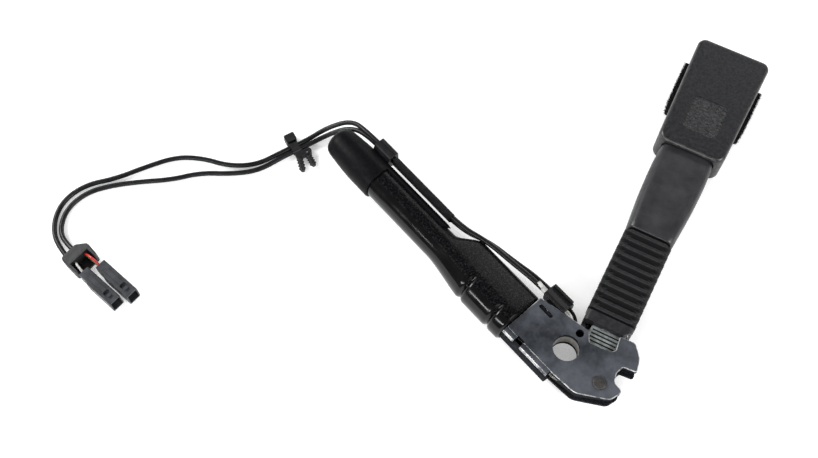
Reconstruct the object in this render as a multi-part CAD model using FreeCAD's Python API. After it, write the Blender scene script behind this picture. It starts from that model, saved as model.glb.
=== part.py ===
"""Front seat belt buckle on a wire rope, with the bracket and tube of the pretensioner that pulls it down.

Millimetres. The origin is the centre of the anchor bolt hole, half way through the bracket. +Z runs along the
bolt, towards the side that faces up here. +Y runs along the buckle stalk, towards the mouth of the buckle.
"""
import FreeCAD, Part
import math
import os

V = FreeCAD.Vector
X_AXIS = V(1, 0, 0)
Y_AXIS = V(0, 1, 0)
Z_AXIS = V(0, 0, 1)

# Sizes that several pieces share
sheet = 3.0                 # bracket sheet
plate_gap = 8.6             # clear space between the bracket's two plates
bolt_r = 7.5                # anchor bolt hole
rope_r = 2.75
rope_clear = 0.3            # round the rope, wherever it runs
lead_r = 1.5                # jacketed wiring lead
touch = 0.05                # between pieces that seat on each other
seat_gap = 0.2              # between the bracket and the boot's foot
running = 0.1               # radial, between a shaft and its bore
loose = 0.3                 # between pieces that move past each other

half_gap = plate_gap / 2
half_bracket = half_gap + sheet

# Pretensioner tube: its axis lies across the stalk, beside the bolt hole
tube_lean = 21.5            # degrees from the X axis
tube_offset = 8.7           # from the bolt's centre to the tube's axis
tube_r = 10.0
tube_wall = 2.0
tube_bore_r = tube_r - tube_wall
tube_start = 31.0           # distances along the tube are counted from beside the bolt
tube_end = 172.0
plate_edge = tube_start - 0.4

# Buckle stalk and head
stalk_x = 15.3
boot_foot = 20.2
collar_top = 26.5
bellows_top = 83.5
head_foot = 143.0
neck_grip = 7.0             # how far the neck reaches into the head
neck_top = head_foot + neck_grip

lean = math.radians(tube_lean)
TUBE = FreeCAD.Placement(V(-tube_offset * math.sin(lean), -tube_offset * math.cos(lean), 0),
                         FreeCAD.Rotation(Z_AXIS, 180 - tube_lean))


def at_tube(s, q, z=0.0):
    """The point s along the tube and q across it, on the side away from the stalk."""
    return TUBE.multVec(V(s, q, z))


def corner_at_tube(s, q, r):
    """A rounded corner of an outline, placed by the tube's axis."""
    p = at_tube(s, q)
    return (p.x, p.y, r)


def placed(shape, placement):
    """A copy of the shape with the placement worked into it."""
    return shape.transformed(placement.toMatrix())


def rounded(corners, z=0.0):
    """A closed flat wire through (x, y, radius) corners."""
    ends = []
    for i, (x, y, r) in enumerate(corners):
        here = V(x, y, z)
        before = V(corners[i - 1][0], corners[i - 1][1], z)
        after = V(corners[(i + 1) % len(corners)][0], corners[(i + 1) % len(corners)][1], z)
        back = (before - here).normalize()
        on = (after - here).normalize()
        half = back.getAngle(on) / 2
        cut = r / math.tan(half)
        middle = here + (back + on).normalize() * (r / math.sin(half) - r)
        ends.append((here + back * cut, middle, here + on * cut))
    edges = []
    for i, (start, middle, end) in enumerate(ends):
        if corners[i][2] > 0:
            edges.append(Part.Arc(start, middle, end).toShape())
        following = ends[(i + 1) % len(ends)][0]
        if end.distanceToPoint(following) > 1e-6:
            edges.append(Part.makeLine(end, following))
    return Part.Wire(edges)


def plate(corners, z0, z1):
    """A flat plate with the given outline, from z0 to z1."""
    return Part.Face(rounded(corners, z0)).extrude(V(0, 0, z1 - z0))


def block(x0, x1, y0, y1, z0, z1):
    return Part.makeBox(x1 - x0, y1 - y0, z1 - z0, V(x0, y0, z0))


def rod(start, axis, r, length):
    return Part.makeCylinder(r, length, start, axis)


def section(x, y, half_x, half_z, r, z=0.0):
    """A rounded rectangle across the stalk at height y."""
    flat = rounded([(-half_x, -half_z, r), (half_x, -half_z, r), (half_x, half_z, r), (-half_x, half_z, r)])
    flat.rotate(V(0, 0, 0), X_AXIS, 90)
    flat.translate(V(x, y, z))
    return flat


def slab(x, y0, y1, half_x, half_z, r, z=0.0):
    """A straight bar of rounded rectangular section along the stalk."""
    return Part.Face(section(x, y0, half_x, half_z, r, z)).extrude(V(0, y1 - y0, 0))


def smooth_route(points, share=0.45):
    """A wire of straight runs and tangent arcs through the given corner points."""
    edges = []
    last = points[0]
    for before, here, after in zip(points, points[1:], points[2:]):
        back = (before - here).normalize()
        on = (after - here).normalize()
        half_turn = (math.pi - back.getAngle(on)) / 2
        cut = share * min(before.distanceToPoint(here), here.distanceToPoint(after))
        r = cut / math.tan(half_turn)
        middle = here + (back + on).normalize() * (r / math.cos(half_turn) - r)
        edges.append(Part.makeLine(last, here + back * cut))
        edges.append(Part.Arc(here + back * cut, middle, here + on * cut).toShape())
        last = here + on * cut
    edges.append(Part.makeLine(last, points[-1]))
    return Part.Wire(edges)


def cable(points, r):
    """A round cable along a route."""
    route = smooth_route([V(*p) for p in points])
    start = V(*points[0])
    ring = Part.Wire(Part.makeCircle(r, start, V(*points[1]) - start))
    return route.makePipeShell([ring], True, True)


def coil(start, axis, r, wire_r, length, turns):
    """A closed-end compression spring."""
    helix = Part.makeHelix(length / turns, length, r)
    ring = Part.Wire(Part.makeCircle(wire_r, V(r, 0, 0), Y_AXIS))
    spring = Part.Wire(helix.Edges).makePipeShell([ring], True, True)
    spring.Placement = FreeCAD.Placement(start, FreeCAD.Rotation(Z_AXIS, axis))
    return spring


# Rope route: out of the tube on its axis, slightly aslant past the bolt, round the guide, up the stalk

sleeve_wall = 2.0           # spacer round the bolt
guide_r = bolt_r + sleeve_wall + touch + rope_r + rope_clear
turn_y = -1.6               # where the turn ends on the stalk's line
bend_s = 52.0               # where the rope leaves the tube's axis
turn_centre = V(stalk_x - guide_r, turn_y, 0)


def rope_turn_start():
    """Where the straight run from the tube touches the guide's curve."""
    bend = at_tube(bend_s, 0)
    reach = bend - turn_centre
    swing = math.acos(guide_r / reach.Length)
    heading = math.atan2(reach.y, reach.x) + swing
    return turn_centre + V(math.cos(heading), math.sin(heading), 0) * guide_r


def rope(edges, r):
    """A length of rope, or of the channel that holds it."""
    route = Part.Wire(edges)
    start = route.OrderedVertexes[0].Point
    first = route.OrderedEdges[0]
    heading = first.tangentAt(first.FirstParameter)
    ring = Part.Wire(Part.makeCircle(r, start, heading))
    return route.makePipeShell([ring], True, True)


turn_start = rope_turn_start()
turn_end = V(stalk_x, turn_y, 0)
start_angle = math.atan2(turn_start.y - turn_y, turn_start.x - turn_centre.x)
turn_middle = turn_centre + V(math.cos(start_angle / 2), math.sin(start_angle / 2), 0) * guide_r
bend_point = at_tube(bend_s, 0)
bend_run = 6.0
bend_in = at_tube(bend_s + bend_run, 0)
bend_out = bend_point + (turn_start - bend_point).normalize() * bend_run


def bend_arc():
    """The slight bend where the rope leaves the tube's axis."""
    back = (bend_in - bend_point).normalize()
    on = (bend_out - bend_point).normalize()
    half_turn = (math.pi - back.getAngle(on)) / 2
    r = bend_run / math.tan(half_turn)
    middle = bend_point + (back + on).normalize() * (r / math.cos(half_turn) - r)
    return Part.Arc(bend_in, middle, bend_out).toShape()


def rope_turn():
    return Part.Arc(turn_start, turn_middle, turn_end).toShape()


wrap_s = 20.0               # the static rope wrap starts here, inside the housing's tongue
wrap_share = (bend_s - wrap_s) / (bend_s + 2.0)
wrap_start = bend_point + (turn_start - bend_point) * wrap_share
rope_split = 24.0           # height on the stalk where the wrap ends
join = 0.2                  # gap between two lengths of the one rope


def rope_channel():
    """The space that the rope runs in, from the housing through the guide to the stalk."""
    route = [bend_arc(), Part.makeLine(bend_out, turn_start), rope_turn(),
             Part.makeLine(turn_end, V(stalk_x, collar_top + 1, 0))]
    return rope(route, rope_r + rope_clear)


# Anchor bracket: one sheet folded into two plates, open towards the tube and the stalk

fold_q = 7.3                # the flat plates end here, measured from the tube's axis
fold_r = 4.0                # outside of the fold
fold_end = -3.5
relief = (17.5, 22.5)       # notch in the fold, along the tube
index_at = V(3.2, 11.1, 0)
index_r = 2.35
rivet_at = V(24.0, -10.1, 0)
rivet_r = 3.0
rivet_head_r = 4.2
rivet_head = 1.1
rivet_bevel = 0.9
sink = 1.2                  # depth of the countersink under the rivet's foot
dimple = (17.9, 27.8, -15.2)
dimple_r = 1.2
dimple_deep = 1.0
edge_break = 0.45

bracket_top = boot_foot - seat_gap

hook_side = [(14.0, -21.4, 8), (33.0, -16.2, 5), (37.6, -8.6, 2.4), (31.2, -6.2, 3.4), (30.2, -0.6, 2.6),
             (32.0, 4.0, 1.2), (40.2, 4.6, 1.4), (38.2, 13.0, 4), (33.0, bracket_top, 3)]
window = [(stalk_x + 8.4, bracket_top - 0.4, 0.8), (stalk_x + 9.4, 11.2, 1.2), (stalk_x + 7.3, 9.2, 1.0),
          (stalk_x - 5.3, 8.8, 1.2), (stalk_x - 8.0, 15.0, 1.0)]
stalk_side = [(-6.8, 17.6, 2), (-10.7, 18.4, 2)]


def plate_outline(open_corners):
    foot = [corner_at_tube(plate_edge, fold_q, 0.8), corner_at_tube(fold_end - 1.5, fold_q, 1.5)]
    top = [corner_at_tube(plate_edge, -18.5, 1.2)]
    return foot + hook_side + open_corners + stalk_side + top


def broken_edges(solid, z):
    """The plate with the sharp edge of its outer face taken off."""
    rim = [e for e in solid.Edges if abs(e.BoundBox.ZMin - z) < 1e-4 and abs(e.BoundBox.ZMax - z) < 1e-4]
    return solid.makeChamfer(edge_break, rim)


def fold():
    """The wall that joins the two plates, with its two bends."""
    outer = plate([(0, -half_bracket, 0), (fold_r, -half_bracket, fold_r - 0.01),
                   (fold_r, half_bracket, fold_r - 0.01), (0, half_bracket, 0)], 0, plate_edge - fold_end)
    inner_r = fold_r - sheet
    inner = plate([(-1, -half_gap, 0), (inner_r, -half_gap, inner_r - 0.01),
                   (inner_r, half_gap, inner_r - 0.01), (-1, half_gap, 0)], -1, plate_edge - fold_end + 1)
    wall = outer.cut(inner)
    # the profile's x runs across the tube, its y up and its z along the tube
    turn = FreeCAD.Rotation(V(0, 1, 0), V(0, 0, 1), V(1, 0, 0), "ZXY")
    wall.Placement = FreeCAD.Placement(V(fold_end, fold_q, 0), turn)
    wall = placed(wall, TUBE)
    slot = placed(block(*relief, fold_q - 1.2, fold_q + fold_r + 1, half_gap - 1.5, half_bracket + 1), TUBE)
    return wall.cut(slot)


def rivet_foot():
    return Part.makeCone(rivet_head_r, rivet_r, sink, rivet_at - Z_AXIS * half_bracket)


def anchor_bracket():
    upper = broken_edges(plate(plate_outline(window), half_gap, half_bracket), half_bracket)
    lower = broken_edges(plate(plate_outline([]), -half_bracket, -half_gap), -half_bracket)
    body = upper.fuse([lower, fold()])
    slot = placed(block(*relief, fold_q - 1.2, fold_q + 0.5, half_gap - 1.5, half_bracket + 1), TUBE)
    holes = [hole(V(0, 0, 0), bolt_r), hole(index_at, index_r), hole(rivet_at, rivet_r)]
    body = body.cut([slot] + holes + [rivet_foot()])
    s0, s1, q = dimple
    press = placed(block(s0 + dimple_r, s1 - dimple_r, q - dimple_r, q + dimple_r,
                         half_bracket - dimple_deep, half_bracket + 1), TUBE)
    for s in (s0 + dimple_r, s1 - dimple_r):
        press = press.fuse(rod(at_tube(s, q, half_bracket - dimple_deep), Z_AXIS, dimple_r, dimple_deep + 1))
    return body.cut(press).removeSplitter()


def hole(centre, r):
    return rod(centre - Z_AXIS * 20, Z_AXIS, r, 40)


def anchor_sleeve():
    ring = rod(V(0, 0, -half_gap), Z_AXIS, bolt_r + sleeve_wall, plate_gap)
    return ring.cut(hole(V(0, 0, 0), bolt_r))


rib_first = 10.9
rib_pitch = 2.2
rib_count = 4
rib_slot = 0.9
rib_deep = 0.9
guide_top = boot_foot - seat_gap
spout_r = 4.9
spout_top = guide_top + 5.0


def cable_guide():
    """Zinc block between the plates: a curved channel for the rope and ribs under the window."""
    outline = [corner_at_tube(16.5, 7.2, 1.5), corner_at_tube(-6.0, 6.2, 2),
               (14.6, -19.6, 6), (30.4, -14.6, 4),
               (28.2, -4.0, 3), (26.4, 8.0, 2), (stalk_x + 10.3, guide_top, 1.2),
               (stalk_x - 8.1, guide_top, 1.2), (stalk_x - 8.1, 9.0, 0.8), (0, 0, 0),
               corner_at_tube(16.5, -2.6, 1)]
    body = plate(outline, -half_gap, half_gap)
    spout = rod(V(stalk_x, guide_top - 0.2, 0), Y_AXIS, spout_r, spout_top - guide_top + 0.2)
    body = body.fuse(spout)
    body = body.cut([hole(V(0, 0, 0), bolt_r + sleeve_wall + touch), rope_channel(), hole(rivet_at, rivet_r)])
    for i in range(rib_count):
        y = rib_first + i * rib_pitch
        slot = block(stalk_x - 6.9, stalk_x + 8.7, y, y + rib_slot, half_gap - rib_deep, half_gap + 1)
        body = body.cut(slot)
    return body


def guide_rivet():
    """Rivet through both plates, with a raised head on the window side and a flush foot under it."""
    shank = rod(rivet_at - Z_AXIS * half_bracket, Z_AXIS, rivet_r, 2 * half_bracket)
    seat = rivet_at + Z_AXIS * half_bracket
    head = Part.makeCone(rivet_head_r, rivet_head_r - rivet_bevel, rivet_head, seat)
    return shank.fuse([head, rivet_foot()]).removeSplitter()


# Pretensioner tube with the flat wing that holds the gas generator

swell_q = 1.9               # the tube is pressed wider where the wing is
swell_r = tube_r + 2.0
wing_q = -12.3
wing_r = 7.2
wing_end = 76.0
wing_taper_end = 90.0
taper_r = 4.0               # the wing's edge where it runs out into the tube
crimp_r = 1.5
crimps = (41.0, 63.0)
charge_r = 5.5
charge_start = 37.0
charge_end = 68.0
gas_port = 72.0
igniter_r = 3.4
igniter_start = 24.0
plug_foot = 15.5
tongue_start = 17.5


def two_circles(s, q0, r0, q1, r1):
    """A wire round two circles across the tube at s: the tube itself and the wing's round edge."""
    d = q0 - q1
    tilt = math.asin((r0 - r1) / d)
    up = math.pi / 2 + tilt

    def on(q, r, angle):
        return V(s, q + math.cos(angle) * r, math.sin(angle) * r)


    a = on(q0, r0, up)
    b = on(q1, r1, up)
    c = on(q1, r1, -up)
    e = on(q0, r0, -up)
    return Part.Wire([Part.makeLine(a, b), Part.Arc(b, V(s, q1 - r1, 0), c).toShape(), Part.makeLine(c, e),
                      Part.Arc(e, V(s, q0 + r0, 0), a).toShape()])


def tongue():
    """The flat end of the housing that sits between the bracket's plates."""
    return block(tongue_start, tube_start + 1, -17.6, fold_q - 0.6, -half_gap, half_gap)


def groove(s):
    """A crimp rolled round the free side of the tube."""
    face = Part.Face(Part.Wire(Part.makeCircle(crimp_r, V(s, swell_q, swell_r + 0.3), Y_AXIS)))
    return face.revolve(V(s, swell_q, 0), X_AXIS, -180)


def pretensioner_tube():
    body = rod(V(tube_start, 0, 0), X_AXIS, tube_r, tube_end - tube_start)
    end = Part.Face(two_circles(tube_start, swell_q, swell_r, wing_q, wing_r))
    end = end.extrude(V(wing_end - tube_start, 0, 0))
    rim = [e for e in end.Edges
           if abs(e.BoundBox.XMin - tube_start) < 1e-4 and abs(e.BoundBox.XMax - tube_start) < 1e-4]
    end = end.makeChamfer(1.2, rim)
    taper = Part.makeLoft([two_circles(wing_end, swell_q, swell_r - 0.02, wing_q, wing_r),
                           two_circles(wing_taper_end, 0, tube_r - 0.4, taper_r - tube_r + 0.1, taper_r)], True, True)
    body = body.cut(rod(V(tube_start - 1, 0, 0), X_AXIS, tube_r + 0.1, 2.5)).fuse([end, taper, tongue()])
    bore = rod(V(charge_start - 1, 0, 0), X_AXIS, tube_bore_r, tube_end)
    charge = rod(V(charge_start, wing_q, 0), X_AXIS, charge_r + touch, gas_port + 2 - charge_start)
    port = rod(V(gas_port, wing_q, 0), Y_AXIS, 2.0, -wing_q)
    mouth = rod(V(tongue_start - 1, wing_q, 0), X_AXIS, igniter_r + touch, charge_start)
    pocket = block(tongue_start - 1, igniter_start, wing_q - 4.6, wing_q + 4.6, -half_gap - 1, half_gap + 1)
    body = body.cut([bore, charge, port, mouth, pocket] + [groove(s) for s in crimps])
    body = placed(body, TUBE).cut(rope_channel())
    return body.removeSplitter()


def gas_generator():
    body = rod(V(charge_start + touch, wing_q, 0), X_AXIS, charge_r, charge_end - charge_start)
    body = body.fuse(rod(V(igniter_start, wing_q, 0), X_AXIS, igniter_r, charge_start - igniter_start + 1))
    return placed(body, TUBE)


def squib_plug():
    """Small plug on the igniter, between the plates."""
    body = block(plug_foot, igniter_start - 0.2, wing_q - 4.0, wing_q + 4.0, -3.9, 3.9)
    body = body.makeChamfer(0.6, [e for e in body.Edges if abs(e.tangentAt(0).x) > 0.9])
    return placed(body, TUBE)


# Cap on the tube's far end, with a long tongue along the tube

cap_wall = 1.5
cap_r = tube_r + cap_wall
cap_grip = 24.5             # how far the cap reaches over the tube
cap_start = tube_end - cap_grip
cap_end = tube_end + 15.0
cap_round = 4.5
cap_shoulder = tube_end - 6.0   # from here the cap narrows to its end
cap_taper = 2.0
strip_long = 50.5
strip_start = cap_start - strip_long
strip_from = 36.0           # degrees from the top, towards the stalk
strip_to = 74.0
cap_hollow = 8.0


def cap_blank(r, s0, s1):
    """A revolved cap with a rounded far end."""
    profile = rounded([(s0, 0, 0), (s0, r, 0), (cap_shoulder, r, 8), (s1, r - cap_taper, cap_round),
                       (s1, 0, 0)])
    return Part.Face(profile).revolve(V(0, 0, 0), X_AXIS, 360)


def strip():
    """The tongue: a strip of the cap's wall that runs on along the tube."""
    ring = rod(V(strip_start, 0, 0), X_AXIS, cap_r, cap_start - strip_start + 0.5)
    ring = ring.cut(rod(V(strip_start - 1, 0, 0), X_AXIS, tube_r + touch, cap_start))
    a = math.radians(90 + strip_from)
    b = math.radians(90 + strip_to)
    far = 3 * cap_r
    apex = V(strip_start, 0, 0)
    sides = [V(strip_start, far * math.cos(angle), far * math.sin(angle)) for angle in (a, b)]
    wedge = Part.Face(Part.makePolygon([apex] + sides + [apex]))
    piece = ring.common(wedge.extrude(V(cap_start, 0, 0)))
    middle = (a + b) / 2
    half_width = tube_r * (b - a) / 2
    out = V(0, math.cos(middle), math.sin(middle))
    tip = rod(V(strip_start + half_width, 0, 0), out, half_width + 0.2, 2 * cap_r)
    return piece.cut(block(strip_start - 1, strip_start + half_width, -30, 30, -30, 30).cut(tip))


def tube_end_cap():
    body = cap_blank(cap_r, cap_start, cap_end).fuse(strip())
    body = body.cut([rod(V(cap_start - 1, 0, 0), X_AXIS, tube_r + touch, tube_end + touch - cap_start + 1),
                     rod(V(tube_end - 1, 0, 0), X_AXIS, cap_r - 3.5, cap_hollow + 2)])
    return placed(body.removeSplitter(), TUBE)


# Clips that hold the two leads along the tube: q and z of the leads in each

cap_clip = (cap_start + 4.0, cap_start + 17.5)
cap_lead_q = -cap_r - lead_r - 1.8
cap_leads = ((cap_lead_q, 2.3), (cap_lead_q, 6.1))
bracket_clip = (15.5, 31.0)
bracket_leads = ((-27.6, 2.0), (-24.3, 4.4))
clip_edge = 1.2


def lead_holes(span, leads):
    s0, s1 = span
    return [rod(V(s0 - 1, q, z), X_AXIS, lead_r + touch, s1 - s0 + 2) for q, z in leads]


def cap_lead_clip():
    s0, s1 = cap_clip
    outline = [(cap_lead_q - 3.5, -1.4, clip_edge), (cap_lead_q - 3.5, 9.2, clip_edge),
               (cap_lead_q + 3.0, 9.2, clip_edge), (cap_lead_q + 8.8, -1.4, 0)]
    body = Part.Face(across(outline, s0)).extrude(V(s1 - s0, 0, 0))
    body = body.cut([rod(V(s0 - 1, 0, 0), X_AXIS, cap_r + touch, s1)] + lead_holes(cap_clip, cap_leads))
    mouth = block(s0 - 1, s1 + 1, cap_lead_q - 4.2, cap_lead_q, 1.6, 3.0)
    return placed(body.cut(mouth), TUBE)


def across(corners, s):
    """A wire across the tube at s, from (q, z, radius) corners."""
    flat = rounded([(z, q, r) for q, z, r in corners])
    flat.rotate(V(0, 0, 0), Y_AXIS, -90)
    flat.translate(V(s, 0, 0))
    return flat


def bracket_lead_clip():
    """Clip on the edge of the bracket's plates: a jaw over the upper plate and a round hood over the leads."""
    s0, s1 = bracket_clip
    hood = [(-30.2, -1.0, 1.5), (-30.2, 7.4, 2.5), (-21.6, 9.6, 1.5), (-21.6, -1.0, 1.0)]
    body = Part.Face(across(hood, s0)).extrude(V(s1 - s0, 0, 0))
    inset = 3.6
    foot = block(s0 + inset, s1 - inset, -22.0, -17.7, -half_gap + touch, half_gap - touch)
    body = body.fuse(foot).cut(lead_holes(bracket_clip, bracket_leads))
    body = placed(body, TUBE)
    return body.cut(anchor_bracket())


# Leads held along the tube, and the sleeve round them; points are (s, q, z)

leads_turn = 92.0           # where the leads leave their straight run beside the tube
sleeve_span = (leads_turn + 8.5, cap_clip[0] - 1.5)
held_low = [(cap_clip[0] + 6.5, cap_lead_q, 2.3), (leads_turn + 33.0, cap_lead_q - 0.1, 2.3),
            (leads_turn, cap_lead_q, 2.3), (leads_turn - 16.0, -21.8, 2.2), (leads_turn - 36.0, -24.6, 2.0),
            (bracket_clip[1] + 9.0, -27.6, 2.0), (bracket_clip[0] + 4.5, -27.6, 2.0)]
held_high = [(cap_clip[0] + 6.5, cap_lead_q, 6.1), (leads_turn + 32.0, cap_lead_q - 0.1, 6.1),
             (leads_turn, cap_lead_q, 6.1), (leads_turn - 16.0, -19.8, 6.1), (leads_turn - 35.0, -21.8, 5.4),
             (bracket_clip[1] + 9.0, -24.3, 4.4), (bracket_clip[0] + 4.5, -24.3, 4.4)]


def held_lead(points, jacket=lead_r):
    return cable([tuple(at_tube(*p)) for p in points], jacket)


def lead_sleeve():
    """Textile sleeve round both leads, oval because they lie one over the other."""
    s0, s1 = sleeve_span
    middle = (cap_leads[0][1] + cap_leads[1][1]) / 2
    half = (cap_leads[1][1] - cap_leads[0][1]) / 2 + lead_r + 0.6
    side = lead_r + 0.6
    q = cap_leads[0][0]
    wall = 0.4

    def oval(inset):
        near, far = q - side + inset, q + side - inset
        low, high = middle - half + inset, middle + half - inset
        r = side - inset - 0.01
        return [(near, low, r), (near, high, r), (far, high, r), (far, low, r)]

    body = Part.Face(across(oval(0.0), s0)).extrude(V(s1 - s0, 0, 0))
    return placed(body.cut(Part.Face(across(oval(wall), s0 - 1)).extrude(V(s1 - s0 + 2, 0, 0))), TUBE)


# Piston and the rope end it pulls

piston_start = 78.0
piston_long = 14.0
piston_r = tube_bore_r - running
seal_at = 4.0
seal_r = 1.1
ball_count = 6
ball_r = 1.5
ferrule_r = 4.6
ferrule_long = 11.0
cone_long = 5.0
cone_foot_r = piston_r - 1.9
cone_tip_r = rope_r + 1.65


def piston_cone():
    foot = V(piston_start + piston_long - cone_long, 0, 0)
    return Part.makeCone(cone_foot_r, cone_tip_r, cone_long, foot, X_AXIS)


def piston():
    """Piston with a groove for its seal and a cone that drives the balls against the bore."""
    s = piston_start
    body = rod(V(s, 0, 0), X_AXIS, piston_r, piston_long - cone_long).fuse(piston_cone())
    ring = Part.makeTorus(piston_r - seal_r, seal_r + touch, V(s + seal_at, 0, 0), X_AXIS)
    return placed(body.cut([ring, rod(V(s - 1, 0, 0), X_AXIS, rope_r + touch, piston_long + 2)]), TUBE)


def piston_seal():
    return placed(Part.makeTorus(piston_r - seal_r, seal_r, V(piston_start + seal_at, 0, 0), X_AXIS), TUBE)


def lock_balls():
    s = piston_start + piston_long - cone_long + ball_r + touch
    seat = tube_bore_r - ball_r - 0.15
    balls = []
    for i in range(ball_count):
        a = 2 * math.pi * i / ball_count
        balls.append(Part.makeSphere(ball_r, V(s, seat * math.cos(a), seat * math.sin(a))))
    return placed(Part.Compound([b.cut(piston_cone()) for b in balls]), TUBE)


def rope_ferrule():
    s = piston_start + piston_long + touch
    body = rod(V(s, 0, 0), X_AXIS, ferrule_r, ferrule_long)
    return placed(body.cut(rod(V(s - 1, 0, 0), X_AXIS, rope_r + touch, ferrule_long + 2)), TUBE)


def rope_tail():
    tail_end = at_tube(piston_start + piston_long + ferrule_long, 0)
    start = wrap_start + (bend_point - wrap_start).normalize() * join
    return rope([Part.makeLine(start, bend_out), bend_arc(), Part.makeLine(bend_in, tail_end)], rope_r)


def rope_wrap():
    return rope([Part.makeLine(wrap_start, turn_start), rope_turn(),
                 Part.makeLine(turn_end, V(stalk_x, rope_split, 0))], rope_r)


# Boot: collar on the bracket, bellows, smooth neck up to the head

boot_wall = 1.4
ridge = (14.4, 9.3, 5.2)    # half width, half depth and corner of the bellows' ridges
valley = (12.0, 7.2, 3.8)
collar_size = (13.9, 9.3, 3.0)
ridge_count = 11
low_ridges = 2
pitch = (bellows_top - collar_top) / ridge_count
stalk_joint = collar_top + low_ridges * pitch
neck_long = neck_top - bellows_top
neck_sections = [(bellows_top, 14.3, 9.1, 5.2), (bellows_top + 0.07 * neck_long, 14.6, 9.2, 5.2),
                 (bellows_top + 0.40 * neck_long, 16.3, 9.3, 5.2),
                  (bellows_top + 0.68 * neck_long, 16.8, 9.3, 4.8),
                 (bellows_top + 0.88 * neck_long, 16.4, 9.2, 4.4), (neck_top, 16.4, 9.2, 4.2)]


def boot_collar():
    hx, hz, r = collar_size
    body = slab(stalk_x, boot_foot, collar_top, hx, hz, r)
    room = slab(stalk_x, boot_foot + 2.2, collar_top + 1, hx - boot_wall, hz - boot_wall, r - boot_wall + 0.2)
    body = body.cut(room)
    spout = rod(V(stalk_x, boot_foot - 1, 0), Y_AXIS, spout_r + touch, 5)
    lead_way = rod(V(stalk_x - 9.7, boot_foot - 1, 0), Y_AXIS, lead_r + 0.6, 5)
    near, far = stalk_x + 8.7, stalk_x + 14.7
    corner = Part.Face(Part.makePolygon([V(near, boot_foot - 1, -15), V(far, boot_foot - 1, -15),
                                         V(far, boot_foot + 4.8, -15), V(near, boot_foot - 1, -15)])).extrude(V(0, 0, 30))
    return body.cut([spout, lead_way, corner])


def bellows(y0, ridges):
    """A length of bellows with sharp-cornered folds, hollow."""

    def skin(inset):
        wires = []
        for i in range(ridges):
            y = y0 + i * pitch
            for part_way, (hx, hz, r) in ((0.0, valley), (0.32, ridge), (0.62, ridge)):
                wires.append(section(stalk_x, y + part_way * pitch, hx - inset, hz - inset, r - inset))
        hx, hz, r = valley
        wires.append(section(stalk_x, y0 + ridges * pitch, hx - inset, hz - inset, r - inset))
        return Part.makeLoft(wires, True, True)
    hx, hz, r = valley
    room = slab(stalk_x, y0 - 1, y0 + ridges * pitch + 1, hx - boot_wall, hz - boot_wall, r - boot_wall)
    return skin(0).cut(room)


def neck_sleeve():
    outer = Part.makeLoft([section(stalk_x, y, hx, hz, r) for y, hx, hz, r in neck_sections], True, True)
    inner = Part.makeLoft([section(stalk_x, y, hx - boot_wall, hz - boot_wall, r - boot_wall)
                           for y, hx, hz, r in neck_sections], True, True)
    return outer.cut(inner)


stiffener_r = 4.6
stiffener_top = bellows_top - 5.5


def rope_stiffener():
    """Plastic tube round the rope inside the boot."""
    body = rod(V(stalk_x, stalk_joint + 1, 0), Y_AXIS, stiffener_r, stiffener_top - stalk_joint - 1)
    return body.cut(rod(V(stalk_x, stalk_joint, 0), Y_AXIS, rope_r + loose, stiffener_top))


# Buckle head: two shells round a steel frame; x is counted from the stalk's line

head_low = -11.5
head_high = 12.5
split_z = -1.0
shell_wall = 2.0
shell_gap = 0.2             # between a shell's wall and the steel or the button inside it
frame_half = 16.4
frame_sheet = 2.2
foot_half = frame_half + frame_sheet + shell_wall
mouth_half = foot_half + 2.4
back_bevel = 2.8
slot_half = frame_half - frame_sheet - shell_gap
slot_low = 1.0
slot_high = 7.6
button_half = slot_half - 0.8
button_low = head_low + shell_wall + shell_gap
button_high = slot_low - loose

# What sits one after the other along the head, from its foot to its mouth
frame_foot = head_foot + 12.0
crimp_pin_r = 3.0
crimp_pin_y = frame_foot + 2.0 + crimp_pin_r
tab_y = crimp_pin_y + crimp_pin_r + 1.4
tab_sheet = 2.0
latch_y = tab_y + tab_sheet + 3.6
slider_foot = latch_y + 6.0
ejector_spring_long = 17.6
ejector_foot = tab_y + tab_sheet + ejector_spring_long
ejector_long = 9.0
ejector_front = ejector_foot + ejector_long
nose_foot = ejector_front + 0.8
nose_long = 4.2
nose_top = nose_foot + nose_long
window_y = (nose_foot - 2.8, nose_top + 4.0)
button_foot = nose_top + 6.0
frame_top = window_y[1] + 11.0
head_mouth = frame_top + 8.0


def head_outline(inset=0.0):
    r_foot = max(6.0 - inset, 1.0)
    r_mouth = max(5.0 - inset, 1.0)
    y0 = head_foot + inset
    y1 = head_mouth - inset
    return [(stalk_x - foot_half + inset, y0, r_foot), (stalk_x + foot_half - inset, y0, r_foot),
            (stalk_x + mouth_half - inset, y1, r_mouth), (stalk_x - mouth_half + inset, y1, r_mouth)]


def rimmed(solid, z, size):
    """The solid with all edges of its flat face at z bevelled."""
    rim = [e for e in solid.Edges if abs(e.BoundBox.ZMin - z) < 1e-4 and abs(e.BoundBox.ZMax - z) < 1e-4]
    return solid.makeFillet(size, rim)


def neck_way():
    """The opening in the head's foot that the neck enters."""
    y, hx, hz, r = neck_sections[-1]
    return slab(stalk_x, head_foot - 1, head_foot + shell_wall + 2, hx + touch, hz + touch, r)


def mouth_cuts():
    slot = block(stalk_x - slot_half, stalk_x + slot_half, head_mouth - 6, head_mouth + 1,
                 slot_low, slot_high)
    key = block(stalk_x - button_half - 0.2, stalk_x + button_half + 0.2, head_mouth - 6, head_mouth + 1,
                button_low - 0.1, slot_low)
    return [slot, key]


panel = (10.5, head_foot + 13.0, head_foot + 37.0, 0.35)


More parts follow.
